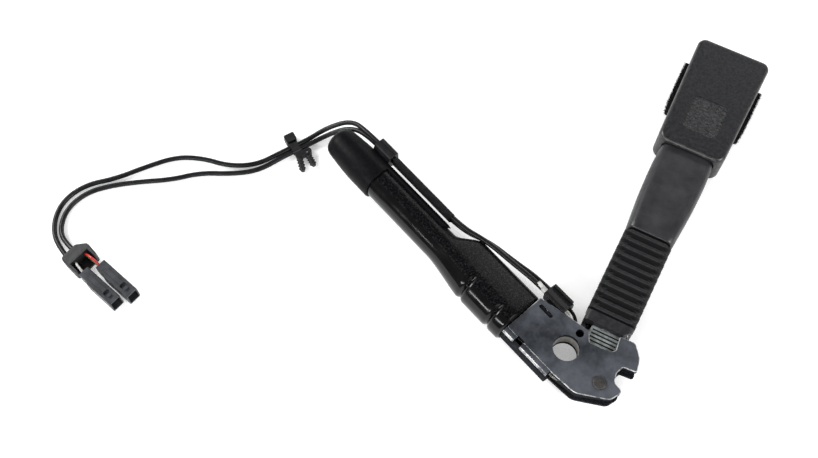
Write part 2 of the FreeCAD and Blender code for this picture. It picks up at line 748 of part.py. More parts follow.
def rear_shell():
    body = rimmed(plate(head_outline(), split_z, head_high), head_high, back_bevel)
    under = head_high - shell_wall
    room = rimmed(plate(head_outline(shell_wall), split_z - 1, under), under, 1.0)
    half, y0, y1, deep = panel
    recess = plate([(stalk_x - half, y0, 2.5), (stalk_x + half, y0, 2.5), (stalk_x + half, y1, 2.5),
                    (stalk_x - half, y1, 2.5)], head_high - deep, head_high + 1)
    return body.cut([room, neck_way(), recess] + mouth_cuts())


def front_shell():
    body = rimmed(plate(head_outline(), head_low, split_z), head_low, 2.0)
    room = plate(head_outline(shell_wall), head_low + shell_wall, split_z + 1)
    thumb = plate([(stalk_x - 9.5, head_mouth + 4, 0), (stalk_x - 9.5, head_mouth - 12, 5),
                   (stalk_x + 9.5, head_mouth - 12, 5), (stalk_x + 9.5, head_mouth + 4, 0)],
                  head_low - 1, head_low + shell_wall + 0.5)
    body = body.cut([room, neck_way(), thumb] + mouth_cuts())
    seats = [block(stalk_x + x - 2.4, stalk_x + x + 2.4, spring_foot - 2.0, spring_foot, head_low + shell_wall - 0.5,
                   spring_z + 1.9) for x in (-spring_x, spring_x)]
    return body.fuse(seats)


felt_thick = 1.0
felt_side = 2.2             # the pad is thicker beside the head, where it stands off the walls
felt_span = (latch_y + 4.0, frame_top - 8.0)
felt_top = 3.0


def felt_wrap():
    """Anti-rattle felt glued round the front and both sides of the head."""
    y0, y1 = felt_span
    outer = plate(head_outline(-felt_side), head_low - felt_thick, felt_top)
    outer = rimmed(outer, head_low - felt_thick, 1.8)
    outer = outer.common(block(stalk_x - 40, stalk_x + 40, y0, y1, head_low - felt_thick, felt_top))
    inner = rimmed(plate(head_outline(-touch), head_low - touch, felt_top + 20), head_low - touch, 2.0)
    return outer.cut(inner)


# Steel frame, latch and rope crimp inside the head

frame_back = head_high - shell_wall - shell_gap
frame_front = -6.5
crimp_r_out = 5.0
crimp_foot = head_foot - 2.0
rope_end = frame_foot - 1.0
latch_z = -3.4
latch_pin_r = 1.5
latch_half = slot_half - 6.0


def latch_frame():
    """Steel channel: base behind the tongue, two side walls with pin holes, a tab for the ejector's spring."""
    body = block(stalk_x - frame_half, stalk_x + frame_half, frame_foot, frame_top, frame_front, frame_back)
    room = block(stalk_x - frame_half + frame_sheet, stalk_x + frame_half - frame_sheet,
                 frame_foot - 1, frame_top + 1,
                 frame_front - 1, frame_back - frame_sheet)
    slope = Part.Face(Part.makePolygon([V(-30, frame_top - 12, frame_front - 1),
                                        V(-30, frame_top + 1, frame_front - 1),
                                        V(-30, frame_top + 1, 6.0), V(-30, frame_top - 12, frame_front - 1)]))
    way = block(stalk_x - latch_half - 0.6, stalk_x + latch_half + 0.6, *window_y, 0, frame_back + 1)
    tab = block(stalk_x - 4.6, stalk_x + 4.6, tab_y, tab_y + tab_sheet, 1.6, frame_back - frame_sheet + 0.2)
    pins = [rod(V(-30, crimp_pin_y, 0), X_AXIS, crimp_pin_r + touch, 90),
            rod(V(-30, latch_y, latch_z), X_AXIS, latch_pin_r + touch, 90)]
    return body.cut([room, slope.extrude(V(90, 0, 0)), way] + pins).fuse(tab)


def rope_crimp():
    body = rod(V(stalk_x, crimp_foot, 0), Y_AXIS, crimp_r_out, frame_foot - crimp_foot + 1.5)
    eye = block(stalk_x - 6.5, stalk_x + 6.5, frame_foot, crimp_pin_y + 4.0, -4.8, 4.8)
    eye = eye.makeFillet(1.5, [e for e in eye.Edges if abs(e.tangentAt(0).x) > 0.9])
    return body.fuse(eye).cut([rod(V(-30, crimp_pin_y, 0), X_AXIS, crimp_pin_r + touch, 90),
                               rod(V(stalk_x, crimp_foot - 1, 0), Y_AXIS, rope_r + touch, rope_end - crimp_foot + 1)])


def pin_across(y, z, r, head_r):
    """A pin through both frame walls, with a head on each end."""
    out = frame_half + touch
    body = rod(V(stalk_x - out, y, z), X_AXIS, r, 2 * out)
    heads = [rod(V(stalk_x + side * out, y, z), X_AXIS * side, head_r, 0.9) for side in (-1, 1)]
    return body.fuse(heads).removeSplitter()


def rope_stalk():
    return rod(V(stalk_x, rope_split + join, 0), Y_AXIS, rope_r, rope_end - rope_split - join)


def latch():
    """Latch: a steel plate on the pin, with a nose that drops into the tongue's window."""
    lug = rod(V(stalk_x - latch_half, latch_y, latch_z), X_AXIS, 3.0, 2 * latch_half)
    arm = block(stalk_x - latch_half, stalk_x + latch_half, latch_y, nose_top, latch_z - 1.6, latch_z + 1.4)
    tip = slot_low + 0.1
    nose = block(stalk_x - latch_half + 1, stalk_x + latch_half - 1, nose_foot, nose_top, latch_z, tip)
    lead_in = [e for e in nose.Edges
               if abs(e.CenterOfMass.z - tip) < 0.01 and e.CenterOfMass.y > nose_top - 1]
    nose = nose.makeChamfer(0.8, lead_in)
    light = block(stalk_x - 4.0, stalk_x + 4.0, latch_y + 6.0, ejector_foot + 3.0, latch_z - 3, latch_z + 3)
    bore = rod(V(-30, latch_y, latch_z), X_AXIS, latch_pin_r + running, 90)
    return lug.fuse([arm, nose]).cut([bore, light])


spring_x = slot_half - 2.8
spring_z = button_low + 2.0
spring_foot = frame_foot + 3.0
slider_low = button_low + 0.4
slider_high = slider_low + 3.5
slider_half = 1.7
spring_play = 0.5           # between a spring's end and its seat


def ejector():
    """Plastic slide that pushes the tongue out, forked over the spring."""
    body = block(stalk_x - 9.0, stalk_x + 9.0, ejector_foot, ejector_front, 1.9, 6.4)
    skid = block(stalk_x - 5.0, stalk_x + 5.0, ejector_foot, ejector_front - 2,
                 6.0, frame_back - frame_sheet - 0.15)
    body = body.fuse(skid)
    return body.makeChamfer(0.5, [e for e in body.Edges if abs(e.CenterOfMass.y - ejector_front) < 0.01])


def ejector_spring():
    start = tab_y + tab_sheet + spring_play
    return coil(V(stalk_x, start, 4.15), Y_AXIS, 1.8, 0.4, ejector_foot - start - spring_play, 9)


def release_button():
    """Button in the mouth end, hollowed for the thumb."""
    half = button_half
    body = block(stalk_x - half, stalk_x + half, button_foot, head_mouth - 0.4, button_low, button_high)
    dish = rod(V(stalk_x - half - 1, head_mouth + 14.0, button_low + 4.6), X_AXIS, 15.2, 2 * half + 2)
    return body.cut(dish)


def release_slider():
    """The two arms that the button pushes, one each side of the latch."""
    arms = [block(stalk_x + x - slider_half, stalk_x + x + slider_half, slider_foot, button_foot,
                  slider_low, slider_high)
            for x in (-spring_x, spring_x)]
    bridge = block(stalk_x - spring_x, stalk_x + spring_x, button_foot - 3.0, button_foot,
                   slider_low, slider_high)
    return arms[0].fuse([arms[1], bridge]).removeSplitter()


def release_springs():
    length = slider_foot - spring_foot - 2 * spring_play
    foot_y = spring_foot + spring_play
    return Part.Compound([coil(V(stalk_x + x, foot_y, spring_z), Y_AXIS, 1.4, 0.35, length, 8)
                          for x in (-spring_x, spring_x)])


def tongue_guide():
    """Plastic funnel that leads the tongue in."""
    foot = button_foot + 2.0
    wall = 0.9
    body = block(stalk_x - slot_half + touch, stalk_x + slot_half - touch, foot, head_mouth - 1.0,
                 slot_low + touch,
                 slot_high - touch)
    return body.cut(block(stalk_x - slot_half + 1.2, stalk_x + slot_half - 1.2, foot - 1, head_mouth + 1,
                          slot_low + wall, slot_high - wall))


def buckle_switch():
    """Switch on the frame's wall, worked by the release slider."""
    side = stalk_x - frame_half
    body = block(side - 2.9, side - 0.6, slider_foot, slider_foot + 14.0, button_low + 0.7, split_z)
    plunger = block(side - 2.0, side - touch, slider_foot + 4.0, slider_foot + 8.0, -5.0, -2.5)
    return body.fuse(plunger).removeSplitter()


switch_x = stalk_x - frame_half - 1.3
switch_z = button_low + 1.6
switch_route = [(stalk_x - 8.4, 27.5, 0), (stalk_x - 8.5, 82.0, 0), (stalk_x - 8.6, head_foot - 7.0, 0),
                (stalk_x - 9.4, head_foot + 3.0, -4.0), (switch_x, frame_foot - 0.6, switch_z),
                (switch_x, slider_foot - 0.1, switch_z)]


def switch_lead():
    return cable(switch_route, 0.8)


# Wires at the bracket: the igniter's two wires and the switch lead's way into the boot

def squib_wires():
    wires = []
    for offset in (-1.2, 1.2):
        points = [(19.8, -24.3 + offset * 0.6, 4.4), (11.0, -24.3 + offset * 0.6, 3.8), (9.4 - offset, -17.6, 0.4),
                  (10.6 - offset * 0.4, -12.4 - offset, 0.0), (15.4, -12.3 - offset, 0.0)]
        wires.append(cable([tuple(at_tube(*p)) for p in points], 0.7))
    return Part.Compound(wires)


def lead_to_boot():
    low_exit = at_tube(19.8, bracket_leads[0][0], bracket_leads[0][1])
    points = [tuple(low_exit), (-4.2, 22.0, 2.0), (0.2, 16.0, 0.0), (stalk_x - 9.7, 17.0, 0.0),
              (stalk_x - 9.7, 22.8, 0.0), (stalk_x - 8.4, 27.3, 0.0)]
    return cable(points, 1.0)


# Free leads from the cap clip to the connectors; they lie on what the assembly lies on

squib_lead_route = [(-144.8, 63.6, 6.1), (-162.4, 70.5, 6.1), (-175.3, 74.7, 1.0), (-188.4, 67.5, -7.0),
                    (-196.5, 55.0, -10.2), (-206.0, 41.0, -10.2), (-215.5, 27.0, -11.0), (-230.0, 18.6, -11.0),
                    (-247.0, 15.8, -11.0), (-262.0, 9.0, -11.0), (-275.0, -5.5, -11.0), (-287.0, -20.5, -11.0),
                    (-300.0, -31.5, -11.0), (-306.5, -46.0, -11.0), (-304.0, -61.0, -11.0), (-293.0, -73.5, -9.6),
                    (-276.5, -79.0, -8.4)]
buckle_lead_route = [(-144.8, 63.6, 2.3), (-162.4, 70.5, 2.3), (-175.5, 71.6, -3.0), (-186.0, 63.9, -8.2),
                     (-194.0, 53.2, -10.2), (-203.4, 39.3, -10.2), (-212.5, 24.0, -11.0), (-226.0, 14.6, -11.0),
                     (-243.0, 6.6, -11.0), (-256.5, -5.5, -11.0), (-272.0, -15.0, -11.0), (-286.0, -25.0, -11.0),
                     (-297.0, -36.0, -11.0), (-301.5, -50.0, -11.0), (-298.0, -62.5, -10.8), (-289.5, -70.0, -9.0),
                     (-276.0, -73.2, -6.0)]

# Strap clip on the free leads, with two fir-tree pegs; x runs along the leads, y across them

lead_slant = -124.2         # degrees
TIE = FreeCAD.Placement(V(-200.0, 47.4, -10.15), FreeCAD.Rotation(Z_AXIS, lead_slant))
pegs = (((0.4, 6.0), 77.0, 11.0), ((-4.8, 7.0), 90.0, 9.5))
peg_r = 1.2
fin_r = 2.2
fin_count = 4


def peg(foot, heading, length):
    """A fir-tree peg: a stem with cone-shaped fins."""
    a = math.radians(heading)
    axis = V(math.cos(a), math.sin(a), 0)
    start = V(foot[0], foot[1], 0)
    body = rod(start, axis, peg_r, length)
    fin_pitch = (length - 2.5) / fin_count
    for i in range(fin_count):
        fin = Part.makeCone(fin_r, peg_r, fin_pitch * 0.8, start + axis * (2.5 + i * fin_pitch), axis)
        body = body.fuse(fin)
    return body


def tie_clip():
    ring = [(-4.1, -2.35, 2.0), (4.1, -2.35, 2.0), (4.1, 2.35, 2.0), (-4.1, 2.35, 2.0)]
    inner = [(-3.5, -1.75, 1.4), (3.5, -1.75, 1.4), (3.5, 1.75, 1.4), (-3.5, 1.75, 1.4)]
    strap = Part.Face(across(ring, -2.6)).extrude(V(5.2, 0, 0))
    strap = strap.cut(Part.Face(across(inner, -3.6)).extrude(V(7.2, 0, 0)))
    head = plate([(-3.4, -9.4, 1), (3.4, -9.4, 1), (3.4, -4.0, 0.8), (-3.4, -4.0, 0.8)], -2.3, 3.2)
    body = plate([(-8.0, 4.0, 2), (2.4, 4.0, 1), (2.4, 8.0, 1.5), (-8.0, 8.4, 2)], -1.6, 1.6)
    body = body.cut(hole(V(-5.2, 5.9, 0), 1.1))
    clip = strap.fuse([head, body] + [peg(*p) for p in pegs])
    return placed(clip, TIE)


# Connectors at the leads' ends; x runs from the holder to the connectors' mouths

connector_slant = -14.0
PLUGS = FreeCAD.Placement(V(-268.0, -76.6, 0), FreeCAD.Rotation(Z_AXIS, connector_slant))
ground = -12.5
plug_half = 3.8
plug_high = 11.0
plug_wall = 0.7
plug_long = 27.0
mouth_deep = 9.0
low_plug = (3.0, -4.5, ground)
high_plug = (7.6, 4.6, ground + 1.4)
wire_r = 0.75


def connector(x, y, z):
    """A grey connector: wire end, stepped body with a latch rail, open mouth."""
    x1 = x + plug_long
    body = block(x, x1, y - plug_half, y + plug_half, z, z + plug_high)
    body = body.makeFillet(0.8, [e for e in body.Edges if abs(e.tangentAt(0).x) > 0.9])
    step = block(x - 1, x + 7.0, y - plug_half - 1, y - plug_half + 0.9, z - 1, z + plug_high + 1)
    rail = block(x + 6.0, x1 - 3.5, y - 1.3, y + 1.3, z + plug_high - 0.1, z + plug_high + 1.1)
    notch = block(x1 - 8.0, x1 - 5.4, y - 2, y + 2, z + plug_high - 0.9, z + plug_high + 2)
    mouth = block(x1 - mouth_deep, x1 + 1, y - plug_half + plug_wall, y + plug_half - plug_wall,
                  z + plug_wall + 0.2, z + plug_high - plug_wall - 0.4)
    blades = [rod(V(x1 - mouth_deep - 1, y, z + h), X_AXIS, 0.5, mouth_deep * 0.35) for h in (3.4, 7.4)]
    wires = [rod(V(x - 1, y, z + h), X_AXIS, wire_r + touch, 4.0) for h in (3.4, 7.4)]
    return placed(body.fuse(rail).cut([step, notch, mouth] + wires).fuse(blades), PLUGS)


def connector_holder():
    """Black holder that grips both connectors' wires and the leads' jackets."""
    body = plate([(-13.6, -7.6, 2.5), (0, -8.2, 1.5), (0, 8.4, 1.5), (-9.0, 9.4, 2.5), (-13.6, 4.0, 2.5)],
                 ground, ground + 10.4)
    top = [e for e in body.Edges if abs(e.BoundBox.ZMin - ground - 10.4) < 1e-4 and e.BoundBox.ZLength < 1e-4]
    body = placed(body.makeChamfer(1.0, top), PLUGS)
    ways = [cable(route[-3:], lead_r + 0.15) for route in (squib_lead_route, buckle_lead_route)]
    room = placed(block(-6.0, 1, -6.4, 6.6, ground + 1.6, 1.0), PLUGS)
    return body.cut(ways + [room])


def core(x, y, z, x0, y0, z0, rise):
    """One thin wire from inside the holder to a connector's back."""
    middle = (x + x0) / 2
    points = [(x0, y0, z0), (middle - 1.8, (y + y0) / 2, (z + z0) / 2 + rise),
              (x - 1.6, y, z), (x + 2.8, y, z)]
    return placed(cable(points, wire_r), PLUGS)


def wire(plug, height, start_y, start_z, rise):
    x, y, z = plug
    return core(x, y, z + height, -5.6, start_y, start_z, rise)


def build():
    parts = {
        "anchor_bracket": anchor_bracket(),
        "anchor_sleeve": anchor_sleeve(),
        "cable_guide": cable_guide(),
        "guide_rivet": guide_rivet(),
        "pretensioner_tube": pretensioner_tube(),
        "gas_generator": gas_generator(),
        "squib_plug": squib_plug(),
        "tube_end_cap": tube_end_cap(),
        "cap_lead_clip": cap_lead_clip(),
        "bracket_lead_clip": bracket_lead_clip(),
        "held_lead_low": held_lead(held_low),
        "held_lead_high": held_lead(held_high),
        "lead_sleeve": lead_sleeve(),
        "piston": piston(),
        "piston_seal": piston_seal(),
        "lock_balls": lock_balls(),
        "rope_ferrule": rope_ferrule(),
        "rope_tail": rope_tail(),
        "rope_wrap": rope_wrap(),
        "boot_collar": boot_collar(),
        "boot_bellows_low": bellows(collar_top, low_ridges),
        "boot_bellows_high": bellows(stalk_joint, ridge_count - low_ridges),
        "neck_sleeve": neck_sleeve(),
        "rope_stiffener": rope_stiffener(),
        "rope_stalk": rope_stalk(),
        "rear_shell": rear_shell(),
        "front_shell": front_shell(),
        "felt_wrap": felt_wrap(),
        "latch_frame": latch_frame(),
        "rope_crimp": rope_crimp(),
        "crimp_pin": pin_across(crimp_pin_y, 0, crimp_pin_r, 4.2),
        "latch_pin": pin_across(latch_y, latch_z, latch_pin_r, 2.3),
        "latch": latch(),
        "ejector": ejector(),
        "ejector_spring": ejector_spring(),
        "release_button": release_button(),
        "release_slider": release_slider(),
        "release_springs": release_springs(),
        "tongue_guide": tongue_guide(),
        "buckle_switch": buckle_switch(),
        "switch_lead": switch_lead(),
        "squib_wires": squib_wires(),
        "lead_to_boot": lead_to_boot(),
        "squib_lead": cable(squib_lead_route, lead_r),
        "buckle_lead": cable(buckle_lead_route, lead_r),
        "tie_clip": tie_clip(),
        "connector_holder": connector_holder(),
        "connector_low": connector(*low_plug),
        "connector_high": connector(*high_plug),
        "wire_red": wire(high_plug, 7.4, 4.2, -5.0, 3.4),
        "wire_green": wire(high_plug, 3.4, 4.4, -7.4, 0.6),
        "wire_white": wire(low_plug, 7.4, -3.4, -5.2, 2.2),
        "wire_purple": wire(low_plug, 3.4, -4.2, -7.8, 0.6),
    }
    os.makedirs("parts", exist_ok=True)
    for name, shape in parts.items():
        shape.exportStep("parts/" + name + ".step")


build()
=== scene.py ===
"""Front seat belt buckle with its anchor bracket, pretensioner tube and wiring, dressed round its solids."""
import math
import random

import bmesh
import bpy
from mathutils import Matrix, Vector


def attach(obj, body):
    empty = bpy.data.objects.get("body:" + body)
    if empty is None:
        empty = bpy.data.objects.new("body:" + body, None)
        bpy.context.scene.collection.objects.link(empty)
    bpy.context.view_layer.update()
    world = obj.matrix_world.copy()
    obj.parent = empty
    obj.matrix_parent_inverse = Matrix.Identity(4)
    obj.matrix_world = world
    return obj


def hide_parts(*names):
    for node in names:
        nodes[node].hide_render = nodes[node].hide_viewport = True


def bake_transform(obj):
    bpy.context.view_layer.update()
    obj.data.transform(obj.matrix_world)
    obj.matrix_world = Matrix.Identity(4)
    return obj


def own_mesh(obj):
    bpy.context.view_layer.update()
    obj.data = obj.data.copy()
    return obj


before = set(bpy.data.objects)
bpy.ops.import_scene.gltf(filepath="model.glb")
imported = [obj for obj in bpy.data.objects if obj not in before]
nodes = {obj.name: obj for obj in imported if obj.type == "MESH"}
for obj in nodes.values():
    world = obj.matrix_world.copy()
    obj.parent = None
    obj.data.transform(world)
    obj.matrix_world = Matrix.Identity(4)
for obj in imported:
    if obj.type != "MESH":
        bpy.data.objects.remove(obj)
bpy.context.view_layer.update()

# View and studio: the camera stands where the photograph was taken, above the bolt end and looking down at
# the part, which lies on a pale table under large soft lights.

bpy.ops.object.camera_add(location=(0.0106, -0.2100, 0.5984),
                          rotation=(math.radians(24), 0, math.radians(27.2)))
camera = bpy.context.object
camera.data.lens = 49.47
camera.data.sensor_width = 36
camera.data.clip_start = 0.01
bpy.context.scene.camera = camera


def surface(name, colour, roughness, **values):
    """A finish whose plain values sit on the shader's own sockets."""
    material = bpy.data.materials.new(name)
    material.use_nodes = True
    shader = material.node_tree.nodes["Principled BSDF"]
    shader.inputs["Base Color"].default_value = (*colour, 1)
    shader.inputs["Roughness"].default_value = roughness
    for socket, value in values.items():
        shader.inputs[socket.replace("_", " ")].default_value = value
    return material


table_top = -0.0125
table_gap = 0.0001
bpy.ops.mesh.primitive_plane_add(size=8, location=(0, 0, table_top - table_gap))
table = bpy.context.object
table.name = "table"
table.data.materials.append(surface("white_table", (0.90, 0.90, 0.90), 0.8, Specular_IOR_Level=0.2,
                                    Emission_Color=(1, 1, 1, 1), Emission_Strength=0.25))

room = bpy.data.worlds.new("studio")
bpy.context.scene.world = room
room.use_nodes = True
room.node_tree.nodes["Background"].inputs["Color"].default_value = (1, 1, 1, 1)
room.node_tree.nodes["Background"].inputs["Strength"].default_value = 0.22
bpy.context.scene.view_settings.view_transform = "Standard"
bpy.context.scene.view_settings.exposure = 0.35


def softbox(name, place, aim, width, height, power):
    """A rectangular soft light at a place, turned towards a point on the table."""
    bpy.ops.object.light_add(type="AREA", location=place)
    light = bpy.context.object
    light.name = name
    light.data.shape = "RECTANGLE"
    light.data.size = width
    light.data.size_y = height
    light.data.energy = power
    light.rotation_euler = (Vector(aim) - Vector(place)).to_track_quat("-Z", "Y").to_euler()


softbox("back_light", (0.10, 1.15, 0.55), (-0.08, 0.05, 0), 1.2, 0.25, 4)
softbox("front_light", (-0.30, -1.10, 0.70), (-0.05, 0.03, 0), 1.3, 0.12, 9)
softbox("window_light", (-1.15, 0.05, 0.75), (-0.08, 0.05, 0), 0.8, 0.3, 12)
softbox("side_light", (1.05, -0.15, 0.70), (-0.05, 0.05, 0), 0.6, 0.4, 10)


# Free leads: two round wires of 3 mm with a black jacket, one from the igniter and one from the buckle's
# switch. They leave the clip on the end cap together and lie loosely on the table as far as their
# connectors.

def pattern(material, kind, scale, stretch=(1, 1, 1), turn=(0, 0, 0), **values):
    """A texture fixed to the piece, in metres, with its stretch and turn; gives its strength."""
    tree = material.node_tree
    place = tree.nodes.new("ShaderNodeTexCoord")
    mapping = tree.nodes.new("ShaderNodeMapping")
    mapping.inputs["Scale"].default_value = stretch
    mapping.inputs["Rotation"].default_value = turn
    texture = tree.nodes.new(kind)
    texture.inputs["Scale"].default_value = scale
    for socket, value in values.items():
        texture.inputs[socket.replace("_", " ")].default_value = value
    tree.links.new(place.outputs["Object"], mapping.inputs["Vector"])
    tree.links.new(mapping.outputs["Vector"], texture.inputs["Vector"])
    return texture.outputs["Fac"]


def tint(material, strength, dark, light, low=0.35, high=0.65):
    """Colour that runs from dark to light with the strength of a pattern."""
    tree = material.node_tree
    ramp = tree.nodes.new("ShaderNodeValToRGB")
    ramp.color_ramp.elements[0].position = low
    ramp.color_ramp.elements[0].color = (*dark, 1)
    ramp.color_ramp.elements[1].position = high
    ramp.color_ramp.elements[1].color = (*light, 1)
    tree.links.new(strength, ramp.inputs["Fac"])
    tree.links.new(ramp.outputs["Color"], tree.nodes["Principled BSDF"].inputs["Base Color"])


def polish(material, strength, smooth, rough, low=0.3, high=0.7):
    """Roughness that runs from smooth to rough with the strength of a pattern."""
    tree = material.node_tree
    spread = tree.nodes.new("ShaderNodeMapRange")
    spread.inputs["From Min"].default_value = low
    spread.inputs["From Max"].default_value = high
    spread.inputs["To Min"].default_value = smooth
    spread.inputs["To Max"].default_value = rough
    tree.links.new(strength, spread.inputs["Value"])
    tree.links.new(spread.outputs["Result"], tree.nodes["Principled BSDF"].inputs["Roughness"])


def relief(material, strength, depth, amount=1.0):
    """Fine relief of a depth in metres, laid over any relief that is already there."""
    tree = material.node_tree
    normal = tree.nodes["Principled BSDF"].inputs["Normal"]
    bump = tree.nodes.new("ShaderNodeBump")
    bump.inputs["Distance"].default_value = depth
    bump.inputs["Strength"].default_value = amount
    if normal.is_linked:
        tree.links.new(normal.links[0].from_socket, bump.inputs["Normal"])
    tree.links.new(strength, bump.inputs["Height"])
    tree.links.new(bump.outputs["Normal"], normal)


NOISE = "ShaderNodeTexNoise"

jacket = surface("wire_jacket", (0.003, 0.003, 0.004), 0.34, Specular_IOR_Level=0.25)
tint(jacket, pattern(jacket, NOISE, 160, Detail=5.0), (0.002, 0.002, 0.003), (0.006, 0.006, 0.007))
polish(jacket, pattern(jacket, NOISE, 420, Detail=3.0), 0.26, 0.46)
relief(jacket, pattern(jacket, NOISE, 900, Detail=2.0), 0.00008, 0.5)


def round_wire(name, points, radius, material):
    """A round wire on one smooth spline through its bends."""
    line = bpy.data.curves.new(name, "CURVE")
    line.dimensions = "3D"
    spline = line.splines.new("NURBS")
    spline.points.add(len(points) - 1)
    for control, place in zip(spline.points, points):
        control.co = (*place, 1)
    spline.order_u = 3
    spline.use_endpoint_u = True
    line.resolution_u = 14
    line.bevel_depth = radius
    line.bevel_resolution = 5
    line.use_fill_caps = True
    line.materials.append(material)
    wire = bpy.data.objects.new(name, line)
    bpy.context.collection.objects.link(wire)
    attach(wire, "anchor")
    return wire


lead_radius = 0.0015
squib_route = [(-0.1448, 0.0636, 0.0061), (-0.1624, 0.0705, 0.0061), (-0.1753, 0.0747, 0.0010),
               (-0.1884, 0.0675, -0.0070), (-0.1965, 0.0550, -0.0102), (-0.2060, 0.0410, -0.0102),
               (-0.2155, 0.0270, -0.0110), (-0.2300, 0.0186, -0.0110), (-0.2470, 0.0158, -0.0110),
               (-0.2620, 0.0090, -0.0110), (-0.2750, -0.0055, -0.0110), (-0.2870, -0.0205, -0.0110),
               (-0.3000, -0.0315, -0.0110), (-0.3065, -0.0460, -0.0110), (-0.3040, -0.0610, -0.0110),
               (-0.2930, -0.0735, -0.0096), (-0.2765, -0.0790, -0.0084)]
buckle_route = [(-0.1448, 0.0636, 0.0023), (-0.1624, 0.0705, 0.0023), (-0.1755, 0.0716, -0.0030),
                (-0.1860, 0.0639, -0.0082), (-0.1940, 0.0532, -0.0102), (-0.2034, 0.0393, -0.0102),
                (-0.2125, 0.0240, -0.0110), (-0.2260, 0.0146, -0.0110), (-0.2430, 0.0066, -0.0110),
                (-0.2565, -0.0055, -0.0110), (-0.2720, -0.0150, -0.0110), (-0.2860, -0.0250, -0.0110),
                (-0.2970, -0.0360, -0.0110), (-0.3015, -0.0500, -0.0110), (-0.2980, -0.0625, -0.0108),
                (-0.2895, -0.0700, -0.0090), (-0.2760, -0.0732, -0.0060)]
squib_lead = round_wire("squib_lead_wire", squib_route, lead_radius, jacket)
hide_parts("squib_lead")
buckle_lead = round_wire("buckle_lead_wire", buckle_route, lead_radius, jacket)
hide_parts("buckle_lead")


# Strap clip on the free leads: one black nylon moulding with a strap round both leads and two fir-tree pegs
# that push into holes in the seat.

def choose(piece):
    """Makes a piece the only one that is selected, and the active one."""
    bpy.ops.object.select_all(action="DESELECT")
    piece.select_set(True)
    bpy.context.view_layer.objects.active = piece


def even_flats(piece):
    """Lets the large flat faces lead the shading of the rounded ones beside them."""
    even = piece.modifiers.new("even_flats", "WEIGHTED_NORMAL")
    even.keep_sharp = True
    even.weight = 80
    bpy.ops.object.modifier_apply(modifier=even.name)


solid_merge = 0.000002
flat_enough = math.radians(0.6)


def from_solid(node, name, material, edge, body="anchor", soft=30, worn=None):
    """The solid's own surface with its flats joined up and its corners broken, as a moulding has them."""
    piece = nodes[node].copy()
    piece.data = nodes[node].data.copy()
    piece.name = name
    piece.parent = None
    for key in list(piece.keys()):
        del piece[key]
    bpy.context.collection.objects.link(piece)
    choose(piece)
    bpy.ops.object.mode_set(mode="EDIT")
    bpy.ops.mesh.select_all(action="SELECT")
    bpy.ops.mesh.remove_doubles(threshold=solid_merge)
    bpy.ops.mesh.dissolve_limited(angle_limit=flat_enough)
    bpy.ops.object.mode_set(mode="OBJECT")
    piece.data.materials.clear()
    piece.data.materials.append(material)
    for face in piece.data.polygons:
        face.material_index = 0
    if worn:
        piece.data.materials.append(worn)
    if edge:
        bevel = piece.modifiers.new("broken_edges", "BEVEL")
        bevel.width = edge
        bevel.segments = 2
        bevel.limit_method = "ANGLE"
        bevel.angle_limit = math.radians(soft)
        bevel.use_clamp_overlap = True
        bevel.material = 1 if worn else -1
        bpy.ops.object.modifier_apply(modifier=bevel.name)
    bpy.ops.object.shade_smooth_by_angle(angle=math.radians(soft + 5))
    even_flats(piece)
    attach(piece, body)
    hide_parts(node)
    return piece


nylon = surface("black_nylon", (0.004, 0.004, 0.005), 0.4, Specular_IOR_Level=0.35)
tint(nylon, pattern(nylon, NOISE, 240, Detail=6.0), (0.003, 0.003, 0.004), (0.007, 0.007, 0.008))
polish(nylon, pattern(nylon, NOISE, 500, Detail=3.0), 0.32, 0.52)
relief(nylon, pattern(nylon, NOISE, 1500, Detail=2.0), 0.00006, 0.6)

tie_clip = from_solid("tie_clip", "strap_clip_moulding", nylon, edge=0.00012)


# Connector holder: a black rubbery moulding that keeps the two connectors side by side. It is pushed over
# both leads' jackets and grips the four thin wires that come out of them.

holder_rubber = surface("holder_rubber", (0.011, 0.011, 0.012), 0.5)
tint(holder_rubber, pattern(holder_rubber, NOISE, 180, Detail=5.0),
     (0.005, 0.005, 0.006), (0.012, 0.012, 0.012))
relief(holder_rubber, pattern(holder_rubber, NOISE, 320, Detail=3.0), 0.0004, 0.5)
relief(holder_rubber, pattern(holder_rubber, NOISE, 1400, Detail=2.0), 0.00008, 0.6)

holder = from_solid("connector_holder", "holder_moulding", holder_rubber, edge=0.0006)


# Connectors: two grey nylon housings, moulded with a latch rail on top and an open mouth for the car's own
# plugs. Years under a seat have soiled them.

grey_nylon = surface("grey_nylon", (0.10, 0.10, 0.11), 0.42, Specular_IOR_Level=0.3)
tint(grey_nylon, pattern(grey_nylon, NOISE, 130, Detail=7.0, Roughness=0.7),
     (0.011, 0.012, 0.014), (0.034, 0.036, 0.041), 0.30, 0.58)
polish(grey_nylon, pattern(grey_nylon, NOISE, 300, Detail=4.0), 0.34, 0.55)
relief(grey_nylon, pattern(grey_nylon, NOISE, 1600, Detail=2.0), 0.00005, 0.6)

connector_low = from_solid("connector_low", "igniter_connector", grey_nylon, edge=0.00022)
connector_high = from_solid("connector_high", "switch_connector", grey_nylon, edge=0.00022)


# Coloured wires: four thin copper wires in coloured insulation, which fan out of the holder, two into each
# connector, where their contacts are clipped in.

handled = 0.55


def insulation(name, colour):
    """Coloured insulation, duller where it was handled."""
    skin = surface(name, colour, 0.32)
    dull = tuple(channel * handled for channel in colour)
    tint(skin, pattern(skin, NOISE, 300, Detail=5.0), dull, colour, 0.30, 0.55)
    polish(skin, pattern(skin, NOISE, 600, Detail=3.0), 0.26, 0.44)
    return skin


thin_radius = 0.00075
plug_slant = math.radians(-14)
plugs = Matrix.Translation((-0.2680, -0.0766, 0)) @ Matrix.Rotation(plug_slant, 4, "Z")


